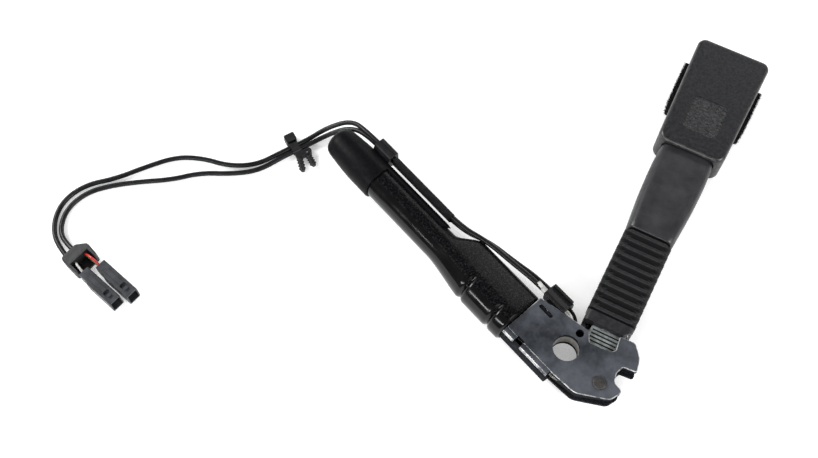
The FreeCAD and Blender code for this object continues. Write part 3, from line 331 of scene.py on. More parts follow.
def thin_wire(name, colour, points):
    """One thin wire from the holder into its connector, drawn with the connectors along x."""
    wire = round_wire(name + "_insulated", [plugs @ Vector(p) for p in points], thin_radius,
                      insulation(name + "_insulation", colour))
    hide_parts(name)
    return wire


wire_red = thin_wire("wire_red", (0.45, 0.016, 0.012),
                     [(-0.0056, 0.0042, -0.0050), (-0.0008, 0.0044, -0.0008),
                      (0.0060, 0.0046, -0.0037), (0.0104, 0.0046, -0.0037)])
wire_green = thin_wire("wire_green", (0.03, 0.16, 0.07),
                       [(-0.0056, 0.0044, -0.0074), (-0.0008, 0.0045, -0.0069),
                        (0.0060, 0.0046, -0.0077), (0.0104, 0.0046, -0.0077)])
wire_white = thin_wire("wire_white", (0.55, 0.55, 0.52),
                       [(-0.0056, -0.0034, -0.0052), (-0.0031, -0.0040, -0.0029),
                        (0.0014, -0.0045, -0.0051), (0.0058, -0.0045, -0.0051)])
wire_purple = thin_wire("wire_purple", (0.13, 0.05, 0.18),
                        [(-0.0056, -0.0042, -0.0078), (-0.0031, -0.0044, -0.0078),
                         (0.0014, -0.0045, -0.0091), (0.0058, -0.0045, -0.0091)])


# Pretensioner tube: drawn steel tube of 20 mm with a flat wing on the buckle's side for the gas generator,
# two crimps rolled round its free side, and a tongue riveted between the bracket's plates. Thick glossy
# black paint.

def pick(piece, wanted, faces=False):
    """Selects the points or the faces that the test wants, on the piece that is being edited."""
    bpy.context.tool_settings.mesh_select_mode = (not faces, False, faces)
    mesh = bmesh.from_edit_mesh(piece.data)
    for group in (mesh.verts, mesh.edges, mesh.faces):
        for part in group:
            part.select = False
    for part in mesh.faces if faces else mesh.verts:
        if wanted(part):
            part.select_set(True)
    mesh.select_flush_mode()
    bmesh.update_edit_mesh(piece.data)


def reshape(piece, move):
    """Moves each point of a piece by hand: move gives its new place."""
    for point in piece.data.vertices:
        point.co = move(point.co)
    piece.data.update()


drawn_merge = 0.000005


def clean_up(piece, soft):
    """Merges doubles, turns all faces outwards and smooths all but the sharp corners."""
    choose(piece)
    bpy.ops.object.mode_set(mode="EDIT")
    bpy.ops.mesh.select_all(action="SELECT")
    bpy.ops.mesh.remove_doubles(threshold=drawn_merge)
    bpy.ops.mesh.normals_make_consistent(inside=False)
    bpy.ops.object.mode_set(mode="OBJECT")
    bpy.ops.object.shade_smooth_by_angle(angle=math.radians(soft))


tube_angle = 21.5
tube_aside = 0.0087
tube_turn = math.radians(180 - tube_angle)
tube_foot = Vector((-tube_aside * math.sin(math.radians(tube_angle)),
                    -tube_aside * math.cos(math.radians(tube_angle)), 0))
along_tube = Matrix.Translation(tube_foot) @ Matrix.Rotation(tube_turn, 4, "Z")


def onto_tube(piece):
    """Takes a piece drawn with the tube along x to its place in the assembly."""
    choose(piece)
    piece.matrix_world = along_tube
    bpy.ops.object.transform_apply(location=True, rotation=True, scale=True)


def settle(piece, slot, material, body, *replaced):
    """Gives a finished piece its material, its body and the node that it stands for."""
    piece.data.materials.clear()
    piece.data.materials.append(material)
    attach(piece, body)
    if replaced:
        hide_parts(*replaced)


def block(name, low, high, edge):
    """A box between two corners with its edges rounded."""
    bpy.ops.object.select_all(action="DESELECT")
    bpy.ops.mesh.primitive_cube_add(size=1, location=[(a + b) / 2 for a, b in zip(low, high)])
    piece = bpy.context.object
    piece.name = name
    piece.scale = [b - a for a, b in zip(low, high)]
    bpy.ops.object.transform_apply(location=True, rotation=True, scale=True)
    if edge:
        bevel = piece.modifiers.new("round", "BEVEL")
        bevel.width = edge
        bevel.segments = 3
        bpy.ops.object.modifier_apply(modifier=bevel.name)
    return piece


def carve(piece, tool, operation="DIFFERENCE"):
    """Cuts one shape out of a piece, or joins it on, and takes the tool away."""
    choose(piece)
    step = piece.modifiers.new("carve", "BOOLEAN")
    step.operation = operation
    step.solver = "EXACT"
    step.object = tool
    bpy.ops.object.modifier_apply(modifier=step.name)
    bpy.data.objects.remove(tool)


def edit(piece):
    """Opens a piece for editing by its points, with all of it selected."""
    choose(piece)
    bpy.ops.object.mode_set(mode="EDIT")
    bpy.context.tool_settings.mesh_select_mode = (True, False, False)
    bpy.ops.mesh.select_all(action="SELECT")


def eased(share):
    """A share that is kept between 0 and 1 and starts and ends gently."""
    share = min(max(share, 0), 1)
    return share * share * (3 - 2 * share)


def open_ring(name, radius, place, corners=96):
    """An open ring across the tube, drawn along x and being edited with all of it selected."""
    bpy.ops.object.select_all(action="DESELECT")
    bpy.ops.mesh.primitive_circle_add(vertices=corners, radius=radius, rotation=(0, math.pi / 2, 0),
                                      location=place)
    ring = bpy.context.object
    ring.name = name
    bpy.ops.object.transform_apply(location=True, rotation=True, scale=True)
    edit(ring)
    return ring


def refinish(piece, material, wanted):
    """Lays another finish on the faces that the test wants."""
    if material.name not in piece.data.materials:
        piece.data.materials.append(material)
    finish = piece.data.materials.find(material.name)
    for face in piece.data.polygons:
        if wanted(face):
            face.material_index = finish


tube_radius = 0.010
tube_mouth = 0.0310
swell_at = 0.0019
swell_radius = 0.0120
wing_at = -0.0123
wing_radius = 0.0072
wing_border = math.radians(110.6)
same_station = 0.000001

tube = open_ring("tube_painted", swell_radius, (tube_mouth, swell_at, 0))
wing_now = [swell_at, swell_radius]
free_now = [swell_at, swell_radius]
station = tube_mouth


def side_to(now, wing, at, radius):
    """Gives the wing's side or the free side of the open end a round edge of another place and radius."""
    border = free_now[0] + free_now[1] * math.cos(wing_border)
    pick(tube, lambda v: abs(v.co.x - station) < same_station and (v.co.y < border) == wing)
    grow = radius / now[1]
    bpy.ops.transform.resize(value=(1, grow, grow), center_override=(station, now[0], 0))
    bpy.ops.transform.translate(value=(0, at - now[0], 0))
    now[:] = [at, radius]


def draw_tube(to):
    """Draws the tube's open end on to another station along x."""
    global station
    pick(tube, lambda v: abs(v.co.x - station) < same_station)
    bpy.ops.mesh.extrude_region_move(TRANSFORM_OT_translate={"value": (to - station, 0, 0)})
    station = to


# The mouth's rim is rolled in, so it starts narrower and widens in two steps.
rim_middle = (0, -0.0028, 0)
side_to(wing_now, True, wing_at, wing_radius)
pick(tube, lambda v: True)
bpy.ops.transform.resize(value=(1, 0.93, 0.90), center_override=rim_middle)
for to, wider, higher in ((0.0318, 1 / 0.95, 1 / 0.925), (0.0324, 0.95 / 0.93, 0.925 / 0.90)):
    draw_tube(to)
    bpy.ops.transform.resize(value=(1, wider, higher), center_override=rim_middle)

taper_from = 0.062
taper_long = 0.033


def free_side_to(to):
    """Narrows the free side from the crimps to the plain tube."""
    share = eased((to - taper_from) / taper_long)
    side_to(free_now, False, swell_at * (1 - share), swell_radius + (tube_radius - swell_radius) * share)


crimps = (0.0410, 0.0630)
crimp_half = (0.0042, 0.0030, 0.0020, 0.0014, 0.0009, 0.0004)
for crimp in crimps:
    for step in (*[-half for half in crimp_half], 0, *reversed(crimp_half)):
        draw_tube(crimp + step)
        free_side_to(station)

wing_from = 0.0740
wing_long = 0.0180
wing_to = 0.0940
draw_tube(0.0720)
free_side_to(station)
for share in (0.04, 0.16, 0.34, 0.56, 0.76, 0.90, 0.98, 1.0):
    draw_tube(wing_from + wing_long * (0.15 + 0.85 * share) if share < 1 else wing_to)
    ease = eased(share)
    side_to(wing_now, True, wing_at * (1 - ease), wing_radius + (tube_radius - wing_radius) * ease)
    free_side_to(station)
for to in (0.100, 0.120, 0.140, 0.160, 0.1720):
    draw_tube(to)
for end in (station, tube_mouth):
    pick(tube, lambda v: abs(v.co.x - end) < same_station)
    bpy.ops.mesh.edge_face_add()
bpy.ops.object.mode_set(mode="OBJECT")

crimp_reach = 104
crimp_fade = 30
groove_depth = 0.00150
groove_width = 0.00115
bead_height = 0.00020
bead_aside = 0.0034
bead_width = 0.0014
near_axis = 0.001


def rolled(place):
    """A crimp: the wall is pressed in round the free side and swells a little beside the groove."""
    middle = swell_at if place.x < wing_from else 0
    angle = abs(math.degrees(math.atan2(place.z, place.y - middle)))
    side = eased((crimp_reach - angle) / crimp_fade)
    press = sum(groove_depth * math.exp(-((place.x - c) / groove_width) ** 2)
                - bead_height * math.exp(-((abs(place.x - c) - bead_aside) / bead_width) ** 2)
                for c in crimps)
    reach = math.hypot(place.y - middle, place.z)
    if side == 0 or reach < near_axis:
        return place
    keep = 1 - press * side / reach
    return Vector((place.x, middle + (place.y - middle) * keep, place.z * keep))


reshape(tube, rolled)
tongue = block("tongue", (0.0175, -0.0176, -0.0043), (0.0316, 0.0067, 0.0043), edge=0.0004)
plug_half = 0.0046
plug_low = (0.0165, wing_at - plug_half, -0.0053)
plug_high = (0.0240, wing_at + plug_half, 0.0053)
carve(tongue, block("pocket", plug_low, plug_high, edge=0))
carve(tube, tongue, "UNION")
clean_up(tube, soft=40)
onto_tube(tube)

tube_paint = surface("tube_paint", (0.0016, 0.0016, 0.0020), 0.30, Specular_IOR_Level=0.09)
# Painted sheen: the light speckles in this colour stand in for the softbox's reflection in the orange peel
# of the paint.
tint(tube_paint, pattern(tube_paint, NOISE, 1100, Detail=4.0, Roughness=0.6),
     (0.0008, 0.0008, 0.0011), (0.018, 0.018, 0.020), 0.50, 0.68)
polish(tube_paint, pattern(tube_paint, NOISE, 800, Detail=4.0), 0.22, 0.40)
relief(tube_paint, pattern(tube_paint, NOISE, 1100, Detail=3.0, Roughness=0.6), 0.00010, 0.4)
settle(tube, "tube_paint", tube_paint, "anchor", "pretensioner_tube")

# The paint is smoother round the free side, and it is painted darker there without the light speckle:
# painted shade, where that side reflects the dark room.
tube_shaded_gloss = surface("tube_shaded_gloss", (0.0012, 0.0012, 0.0016), 0.14, Specular_IOR_Level=0.28)
polish(tube_shaded_gloss, pattern(tube_shaded_gloss, NOISE, 120, Detail=3.0), 0.10, 0.20)
relief(tube_shaded_gloss, pattern(tube_shaded_gloss, NOISE, 70, Detail=1.0), 0.0002, 0.12)
free_way = along_tube.to_3x3() @ Vector((0, 1, 0))
towards_free = 0.30
refinish(tube, tube_shaded_gloss, lambda face: face.normal.dot(free_way) > towards_free)


# End cap: a matte black moulding pushed over the tube's end. A long grooved strip of its wall runs back
# along the tube on the buckle's side.

cap_bore = tube_radius + 0.00005
cap_radius = 0.0115
cap_middle = 0.1600
cap = open_ring("end_cap_moulding", cap_bore, (cap_middle, 0, 0))
at, size = cap_middle, cap_bore
for to, radius in ((0.14755, cap_bore), (0.14750, 0.01015), (0.14750, 0.01125), (0.14762, 0.01142),
                   (0.14790, cap_radius), (0.15600, cap_radius), (0.16200, 0.01148), (0.16600, 0.01135),
                   (0.17000, 0.01112), (0.17500, 0.01064), (0.18000, 0.01016), (0.18250, 0.00988),
                   (0.18450, 0.00930), (0.18590, 0.00830), (0.18665, 0.00720), (0.18700, 0.00560),
                   (0.18700, 0.00350), (0.18695, 0.00120)):
    bpy.ops.mesh.extrude_region_move(TRANSFORM_OT_translate={"value": (to - at, 0, 0)})
    bpy.ops.transform.resize(value=(1, radius / size, radius / size), center_override=(to, 0, 0))
    at, size = to, radius
bpy.ops.mesh.edge_face_add()
pick(cap, lambda v: abs(v.co.x - cap_middle) < same_station)
bpy.ops.mesh.edge_face_add()
bpy.ops.object.mode_set(mode="OBJECT")
clean_up(cap, soft=40)

strip_from, strip_to = 0.0970, 0.1485
strip_middle = math.radians(90 + 55)
strip_reach = tube_radius + 0.0008
strip_half = strip_reach * math.radians(19)
strip_high = 0.00145
strip_gap = 0.00006
blunt_tip = 0.02
facing_up = 0.9
bpy.ops.object.select_all(action="DESELECT")
bpy.ops.mesh.primitive_grid_add(x_subdivisions=60, y_subdivisions=12, size=1,
                                location=((strip_from + strip_to) / 2, 0, 0))
strip = bpy.context.object
strip.name = "end_cap_strip"
strip.scale = (strip_to - strip_from, 2 * strip_half, 1)
bpy.ops.object.transform_apply(location=True, rotation=True, scale=True)


def rounded_tip(place):
    """Rounds the strip's free end, while it still lies flat."""
    back = (strip_from + strip_half - place.x) / strip_half
    squeeze = math.sqrt(max(1 - back * back, blunt_tip)) if back > 0 else 1
    return Vector((place.x, place.y * squeeze, place.z))


reshape(strip, rounded_tip)
edit(strip)
bpy.ops.mesh.extrude_region_move(TRANSFORM_OT_translate={"value": (0, 0, strip_high)})
pick(strip, lambda f: f.normal.z > facing_up and f.calc_center_median().z > strip_high / 2, faces=True)
rounding, rounding_rise = 0.00025, 0.0001
rim_width = 0.00075
groove_slope, strip_groove = 0.00020, 0.00060
bpy.ops.mesh.inset(thickness=rounding, depth=0)
bpy.ops.transform.translate(value=(0, 0, rounding_rise))
bpy.ops.mesh.inset(thickness=rim_width, depth=0)
bpy.ops.mesh.inset(thickness=groove_slope, depth=0)
bpy.ops.transform.translate(value=(0, 0, -strip_groove))
bpy.ops.object.mode_set(mode="OBJECT")


def wrapped(place):
    """Wraps the flat strip round the tube's wall."""
    angle = strip_middle + place.y / strip_reach
    reach = tube_radius + strip_gap + place.z
    return Vector((place.x, reach * math.cos(angle), reach * math.sin(angle)))


reshape(strip, wrapped)
clean_up(strip, soft=30)
cap.select_set(True)
bpy.context.view_layer.objects.active = cap
bpy.ops.object.join()
onto_tube(cap)

cap_plastic = surface("cap_moulding", (0.002, 0.002, 0.003), 0.42, Specular_IOR_Level=0.07)
tint(cap_plastic, pattern(cap_plastic, NOISE, 600, Detail=8.0, Roughness=0.65),
     (0.0018, 0.0018, 0.0024), (0.005, 0.005, 0.0062), 0.35, 0.70)
polish(cap_plastic, pattern(cap_plastic, NOISE, 400, Detail=5.0), 0.34, 0.50)
relief(cap_plastic, pattern(cap_plastic, NOISE, 2200, Detail=2.0), 0.00005, 0.7)
settle(cap, "cap_plastic", cap_plastic, "anchor", "tube_end_cap")


# Clip on the end cap: a black nylon saddle, moulded in one, with a hooked jaw that snaps over the two
# leads. A low rib along it stiffens the jaw.

from_solid("cap_lead_clip", "cap_clip_moulding", nylon, edge=0.00035)
rib = block("cap_clip_rib", (0.1520, -0.0176, 0.0089), (0.1645, -0.0160, 0.0100), edge=0.0004)
onto_tube(rib)
settle(rib, "clip_plastic", nylon, "anchor")


# Held leads: the two leads lie one over the other along the tube, held by the clips at both ends. A black
# textile sleeve, woven round both, covers them beside the cap, and from there they run bare.

held_low = [(0.1580, -0.0148, 0.0023), (0.1250, -0.0149, 0.0023), (0.0920, -0.0148, 0.0023),
            (0.0760, -0.0218, 0.0022), (0.0560, -0.0246, 0.0020), (0.0400, -0.0276, 0.0020),
            (0.0200, -0.0276, 0.0020)]
held_high = [(0.1580, -0.0148, 0.0061), (0.1240, -0.0149, 0.0061), (0.0920, -0.0148, 0.0061),
             (0.0760, -0.0198, 0.0061), (0.0570, -0.0218, 0.0054), (0.0400, -0.0243, 0.0044),
             (0.0200, -0.0243, 0.0044)]
for name, route in (("held_lead_low", held_low), ("held_lead_high", held_high)):
    wire = round_wire(name + "_wire", [along_tube @ Vector(p) for p in route], lead_radius, jacket)
    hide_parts(name)

sleeve_from = 0.1005
sleeve_y, sleeve_z = -0.0148, 0.0042
sleeve_half_y, sleeve_half_z = 0.0019, 0.0038
sleeve = open_ring("woven_sleeve", 1, (sleeve_from, sleeve_y, sleeve_z), corners=40)
bpy.ops.transform.resize(value=(1, sleeve_half_y, sleeve_half_z),
                         center_override=(sleeve_from, sleeve_y, sleeve_z))
at = sleeve_from
for to, swell in ((0.1007, 1.08), (0.1040, 1.0), (0.1120, 1.01), (0.1200, 0.985), (0.1290, 1.01),
                  (0.1380, 1.0), (0.1460, 1.0), (0.1500, 1.02)):
    bpy.ops.mesh.extrude_region_move(TRANSFORM_OT_translate={"value": (to - at, 0, 0)})
    bpy.ops.transform.resize(value=(1, swell, swell), center_override=(to, sleeve_y, sleeve_z))
    at = to
bpy.ops.object.mode_set(mode="OBJECT")


def give_wall(piece, thickness):
    """Turns an open skin into a wall of a thickness, which lies inside it."""
    wall = piece.modifiers.new("wall", "SOLIDIFY")
    wall.thickness = thickness
    wall.offset = -1
    bpy.ops.object.modifier_apply(modifier=wall.name)


give_wall(sleeve, thickness=0.00030)
clean_up(sleeve, soft=50)
onto_tube(sleeve)
woven = surface("woven_sleeve", (0.004, 0.004, 0.005), 0.8, Specular_IOR_Level=0.2)
WAVE = "ShaderNodeTexWave"
for lean in (math.radians(50), -math.radians(50)):
    relief(woven, pattern(woven, WAVE, 900, turn=(0, 0, lean), Distortion=0.4), 0.00012, 0.7)
tint(woven, pattern(woven, NOISE, 500, Detail=6.0), (0.002, 0.002, 0.003), (0.008, 0.008, 0.009))
settle(sleeve, "textile_sleeve", woven, "anchor", "lead_sleeve")

# Pale heat-shrunk collar on the upper lead where it goes into the bracket's clip.
pale = surface("pale_shrink", (0.48, 0.48, 0.46), 0.45)
tint(pale, pattern(pale, NOISE, 400, Detail=6.0), (0.26, 0.26, 0.25), (0.52, 0.52, 0.50), 0.30, 0.5)
collar_wall = 0.00025
collar_route = [(0.0385, -0.02447, 0.0045), (0.0345, -0.0243, 0.0044), (0.0300, -0.0243, 0.0044)]
round_wire("pale_collar", [along_tube @ Vector(p) for p in collar_route], lead_radius + collar_wall, pale)


# Clip on the bracket: a black nylon moulding whose jaw snaps over the upper plate's edge. Its hood closes
# over the leads, and a rail and a lip stiffen it.

from_solid("bracket_lead_clip", "bracket_clip_moulding", nylon, edge=0.00035)
for name, low, high in (("bracket_clip_rail", (0.0160, -0.0300, 0.0078), (0.0305, -0.0287, 0.0098)),
                        ("bracket_clip_lip", (0.0160, -0.0222, 0.0091), (0.0305, -0.0210, 0.0099))):
    rail = block(name, low, high, edge=0.0003)
    onto_tube(rail)
    settle(rail, "clip_plastic", nylon, "anchor")


# Anchor bracket: one 3 mm steel sheet folded into two plates, pierced for the bolt, the locating peg and
# the rivet, with a window over the cable guide and a hooked notch. Black electrocoat, thin and worn on its
# edges, with painted sheen in broad patches, a painted highlight on the fold's bend, and painted shade on
# its cut walls, in the dimple and inside the lower plate.

coat = surface("black_electrocoat_and_sheen", (0.038, 0.042, 0.050), 0.36, Specular_IOR_Level=0.35)
# Painted sheen: broad lighter and darker patches in the coat's colour stand in for the blotchy reflection on
# the plates.
tint(coat, pattern(coat, NOISE, 36, Detail=10.0, Roughness=0.66),
     (0.014, 0.016, 0.020), (0.070, 0.076, 0.089), 0.38, 0.64)
polish(coat, pattern(coat, NOISE, 60, Detail=7.0, Roughness=0.6), 0.26, 0.48)
relief(coat, pattern(coat, NOISE, 1300, Detail=3.0), 0.00006, 0.5)
# Pale coat: real wear on the broken edges, and a painted highlight on the bend of the fold.
worn_coat_and_highlight = surface("worn_coat_and_highlight", (0.20, 0.20, 0.21), 0.28, Metallic=0.3, Specular_IOR_Level=0.7)
tint(worn_coat_and_highlight, pattern(worn_coat_and_highlight, NOISE, 200, Detail=6.0, Roughness=0.7),
     (0.05, 0.055, 0.06), (0.55, 0.55, 0.55), 0.40, 0.58)
bracket = from_solid("anchor_bracket", "bracket_pressing", coat, edge=0.00028,
                     worn=worn_coat_and_highlight)
# Painted shade: a near-black coat with almost no reflection on the dimple's floor, the lower plate's inside
# and the plates' cut walls.
painted_shade_coat = surface("painted_shade_coat", (0.010, 0.011, 0.013), 0.6, Specular_IOR_Level=0.01)
tint(painted_shade_coat, pattern(painted_shade_coat, NOISE, 900, Detail=5.0), (0.006, 0.006, 0.008), (0.016, 0.017, 0.020))
dimple_low = (0.012, -0.016, 0.0062)
dimple_high = (0.024, -0.008, 0.0069)
wall_slope, edge_slope = 0.45, 0.80


def out_of_light(face):
    """The dimple's floor, the lower plate's inside, and the plates' cut walls."""
    here = along_tube.inverted() @ face.center
    in_dimple = all(low <= part < high for low, part, high in zip(dimple_low, here, dimple_high))
    in_gap = here.z < 0 and face.normal.z > facing_up
    return in_dimple or in_gap or (abs(face.normal.z) < wall_slope and face.material_index == 0)


def leaning(face):
    """Faces between flat and upright, such as the bend of the fold, which get the pale coat as a painted
    highlight.
    """
    return face.material_index == 0 and wall_slope <= face.normal.z < edge_slope


refinish(bracket, painted_shade_coat, out_of_light)
refinish(bracket, worn_coat_and_highlight, leaning)


# Bolt sleeve: a plain turned steel ring that keeps the two plates apart round the bolt. It is bare and
# slightly rusty, and the clamped plates hold it.

bare_steel = surface("bare_steel", (0.30, 0.28, 0.25), 0.42, Metallic=0.85)
tint(bare_steel, pattern(bare_steel, NOISE, 200, Detail=7.0, Roughness=0.7),
     (0.12, 0.09, 0.06), (0.36, 0.35, 0.33), 0.25, 0.6)
polish(bare_steel, pattern(bare_steel, NOISE, 500, Detail=4.0), 0.34, 0.60)
relief(bare_steel, pattern(bare_steel, NOISE, 800, stretch=(1, 1, 8), Detail=3.0), 0.00005, 0.6)
from_solid("anchor_sleeve", "bolt_sleeve", bare_steel, edge=0.0002)


# Cable guide: a zinc die casting between the plates, on which the rope turns up to the buckle. The rivet
# holds it, and its ribs show bright through the window, with painted shade between them and on its sides.

zinc = surface("die_cast_zinc", (0.24, 0.26, 0.26), 0.42, Metallic=0.4)
tint(zinc, pattern(zinc, NOISE, 260, Detail=7.0, Roughness=0.6),
     (0.07, 0.08, 0.08), (0.32, 0.34, 0.34), 0.32, 0.62)
polish(zinc, pattern(zinc, NOISE, 700, Detail=4.0), 0.34, 0.55)
relief(zinc, pattern(zinc, NOISE, 1400, Detail=3.0), 0.00008, 0.6)
guide = from_solid("cable_guide", "guide_casting", zinc, edge=0.00018)
# Painted shade: near-black on the slots' floors and on all the casting's sideways faces.
slot_shade = surface("guide_painted_shade", (0.008, 0.009, 0.010), 0.7, Specular_IOR_Level=0.2)
relief(slot_shade, pattern(slot_shade, NOISE, 1400, Detail=3.0), 0.0001, 0.7)
rib_floor, rib_top = 0.0031, 0.0040
refinish(guide, slot_shade,
         lambda face: rib_floor < face.center.z < rib_top or abs(face.normal.z) < edge_slope)


# Rivet: a steel rivet set through both plates and the guide. It was coated with the bracket, and its head
# is rough from the setting tool.

rivet_coat = surface("rivet_coat", (0.016, 0.015, 0.015), 0.5)
tint(rivet_coat, pattern(rivet_coat, NOISE, 420, Detail=7.0, Roughness=0.7),
     (0.010, 0.010, 0.010), (0.045, 0.040, 0.038), 0.35, 0.7)
relief(rivet_coat, pattern(rivet_coat, NOISE, 900, Detail=5.0), 0.00025, 0.8)
from_solid("guide_rivet", "rivet_set", rivet_coat, edge=0.0003)


# Boot collar: the rubber boot's square foot, moulded in one with the bellows above it and pushed on the
# guide's spout. Its panel stays bare.

rubber = surface("boot_rubber", (0.009, 0.009, 0.011), 0.46, Specular_IOR_Level=0.4)
tint(rubber, pattern(rubber, NOISE, 600, Detail=8.0, Roughness=0.6),
     (0.006, 0.006, 0.008), (0.014, 0.014, 0.016), 0.35, 0.70)
polish(rubber, pattern(rubber, NOISE, 300, Detail=5.0), 0.38, 0.54)
relief(rubber, pattern(rubber, NOISE, 1800, Detail=3.0), 0.00005, 0.6)
from_solid("boot_collar", "boot_foot", rubber, edge=0.0005)


# Bellows: thin rubber folds that let the stalk bend at its foot and close up when the pretensioner pulls
# the buckle down. They are made as two pieces: the lower two folds and the others.

stalk_x = 0.0153
bellows_foot, bellows_top = 0.0265, 0.0835
low_folds, high_folds = 2, 9
fold_pitch = (bellows_top - bellows_foot) / (low_folds + high_folds)
valley = (0.0120, 0.0072)
ridge = (0.0144, 0.0093)
ridge_share = 0.88
fold_profile = ((0.00, 0.00), (0.12, 0.02), (0.22, 0.30), (0.29, 0.82), (0.33, 0.96), (0.38, 1.00),
                (0.48, 0.96), (0.58, 1.00), (0.63, 0.96), (0.68, 0.80), (0.76, 0.28), (0.87, 0.02))


def rounded_ring(name, y, half_x, half_z, corner):
    """An open rounded rectangle across the stalk, being edited with all of it selected."""
    bpy.ops.object.select_all(action="DESELECT")
    bpy.ops.mesh.primitive_plane_add(size=1, location=(stalk_x, y, 0), rotation=(math.pi / 2, 0, 0))
    ring = bpy.context.object
    ring.name = name
    ring.scale = (2 * half_x, 2 * half_z, 1)
    bpy.ops.object.transform_apply(location=True, rotation=True, scale=True)
    edit(ring)
    bpy.ops.mesh.bevel(offset=corner, segments=9, affect="VERTICES")
    bpy.ops.mesh.select_all(action="SELECT")
    bpy.ops.mesh.delete(type="ONLY_FACE")
    bpy.ops.mesh.select_all(action="SELECT")
    return ring


def boot_skin(name, rings, corner, thickness):
    """A stretch of the boot with its wall: each ring has its place along the stalk and its half widths."""
    at, wide, high = rings[0]
    piece = rounded_ring(name, at, wide, high, corner)
    for to, half_x, half_z in rings[1:]:
        bpy.ops.mesh.extrude_region_move(TRANSFORM_OT_translate={"value": (0, to - at, 0)})
        bpy.ops.transform.resize(value=(half_x / wide, 1, half_z / high), center_override=(stalk_x, to, 0))
        at, wide, high = to, half_x, half_z
    bpy.ops.object.mode_set(mode="OBJECT")
    clean_up(piece, soft=42)
    give_wall(piece, thickness)
    return piece


# Painted shade: the rubber below the ridges is a darker copy, for the shade deep in the folds.
fold_shade_rubber = surface("fold_shade_rubber", (0.005, 0.005, 0.0055), 0.60, Specular_IOR_Level=0.20)
relief(fold_shade_rubber, pattern(fold_shade_rubber, NOISE, 1800, Detail=3.0), 0.00005, 0.6)


def in_fold(face):
    """Below the ridges, where the rubber is dull and painted darker as shade in the folds."""
    out = max((abs(face.center.x - stalk_x) - valley[0]) / (ridge[0] - valley[0]),
              (abs(face.center.z) - valley[1]) / (ridge[1] - valley[1]))
    return out <= ridge_share


def bellows(name, first, count):
    """Some folds of the bellows, counted from its foot."""
    foot = bellows_foot + first * fold_pitch
    steps = [(fold + share, out) for fold in range(count) for share, out in fold_profile] + [(count, 0.0)]
    rings = [(foot + step * fold_pitch, valley[0] + (ridge[0] - valley[0]) * out,
              valley[1] + (ridge[1] - valley[1]) * out) for step, out in steps]
    piece = boot_skin(name, rings, corner=0.0036, thickness=0.0008)
    piece.data.materials.append(rubber)
    refinish(piece, fold_shade_rubber, in_fold)
    return piece


bellows_low = bellows("bellows_foot", 0, low_folds)
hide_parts("boot_bellows_low")
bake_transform(bellows_low)
bellows_high = bellows("bellows_folds", low_folds, high_folds)
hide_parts("boot_bellows_high")
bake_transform(bellows_high)


# Neck: the smooth upper part of the rubber boot, flat on its back and rounded at the sides, which widens up
# to the head, where the two shells hold its top.

neck_rings = ((bellows_top, 0.0124, 0.0074), (0.0838, 0.0136, 0.0085), (0.0842, 0.01400, 0.00885),
              (0.0850, 0.01425, 0.0091), (0.0880, 0.0146, 0.0092), (0.0940, 0.0151, 0.0092),
              (0.1010, 0.0157, 0.00925), (0.1080, 0.0162, 0.0093), (0.1150, 0.0165, 0.0093),
              (0.1220, 0.0167, 0.0093), (0.1290, 0.01675, 0.0093), (0.1350, 0.0166, 0.0092),
              (0.1400, 0.0164, 0.0091), (0.1430, 0.0160, 0.0088), (0.1500, 0.0156, 0.0086))
neck = boot_skin("boot_neck", neck_rings, corner=0.0044, thickness=0.0012)
neck_rubber = surface("neck_rubber", (0.016, 0.016, 0.018), 0.42)
tint(neck_rubber, pattern(neck_rubber, NOISE, 110, Detail=8.0, Roughness=0.6),
     (0.010, 0.010, 0.012), (0.022, 0.022, 0.025))
polish(neck_rubber, pattern(neck_rubber, NOISE, 90, Detail=5.0), 0.34, 0.54)
relief(neck_rubber, pattern(neck_rubber, NOISE, 1800, Detail=3.0), 0.00005, 0.6)
settle(neck, "boot_rubber", neck_rubber, "buckle", "neck_sleeve")


# Head shells: two black mouldings with a fine spark-eroded grain, clipped together round the steel frame.
# The sunk panel on the back is bare and coarsely grained.

shell_grain = surface("shell_grain", (0.006, 0.006, 0.007), 0.44, Specular_IOR_Level=0.4)
tint(shell_grain, pattern(shell_grain, NOISE, 700, Detail=9.0, Roughness=0.6),
     (0.003, 0.003, 0.004), (0.013, 0.0132, 0.0165), 0.38, 0.62)
polish(shell_grain, pattern(shell_grain, NOISE, 500, Detail=6.0), 0.36, 0.52)
relief(shell_grain, pattern(shell_grain, NOISE, 1800, Detail=2.0), 0.00008, 0.8)
panel_grain = surface("panel_grain", (0.008, 0.008, 0.009), 0.42)
tint(panel_grain, pattern(panel_grain, NOISE, 700, Detail=5.0),
     (0.003, 0.003, 0.004), (0.020, 0.020, 0.022), 0.40, 0.62)
relief(panel_grain, pattern(panel_grain, NOISE, 650, Detail=3.0, Roughness=0.6), 0.0006, 0.9)

# Lighter edges: partly rubbing, partly a painted highlight on the sloping edges.
shell_worn_and_highlight = surface("shell_worn_and_highlight", (0.020, 0.020, 0.020), 0.36)
tint(shell_worn_and_highlight, pattern(shell_worn_and_highlight, NOISE, 300, Detail=9.0, Roughness=0.7),
     (0.007, 0.007, 0.009), (0.050, 0.049, 0.047), 0.42, 0.70)
rear_shell = from_solid("rear_shell", "head_back", shell_grain, edge=0.00015,
                        body="buckle", soft=40)
panel_low = (stalk_x - 0.0106, 0.1559, 0.0119)
panel_high = (stalk_x + 0.0106, 0.1801, 0.0124)
rubbed_and_lit_from, rubbed_and_lit_to = 0.30, 0.92
back_from = 0.006


def in_panel(face):
    """The floor of the sunk panel."""
    return all(low < part < high for low, part, high in zip(panel_low, face.center, panel_high))


def on_edge(face):
    """The back's rounded edges: rubbed by hands and clothes, and painted lighter as a highlight."""
    return rubbed_and_lit_from < face.normal.z < rubbed_and_lit_to and face.center.z > back_from


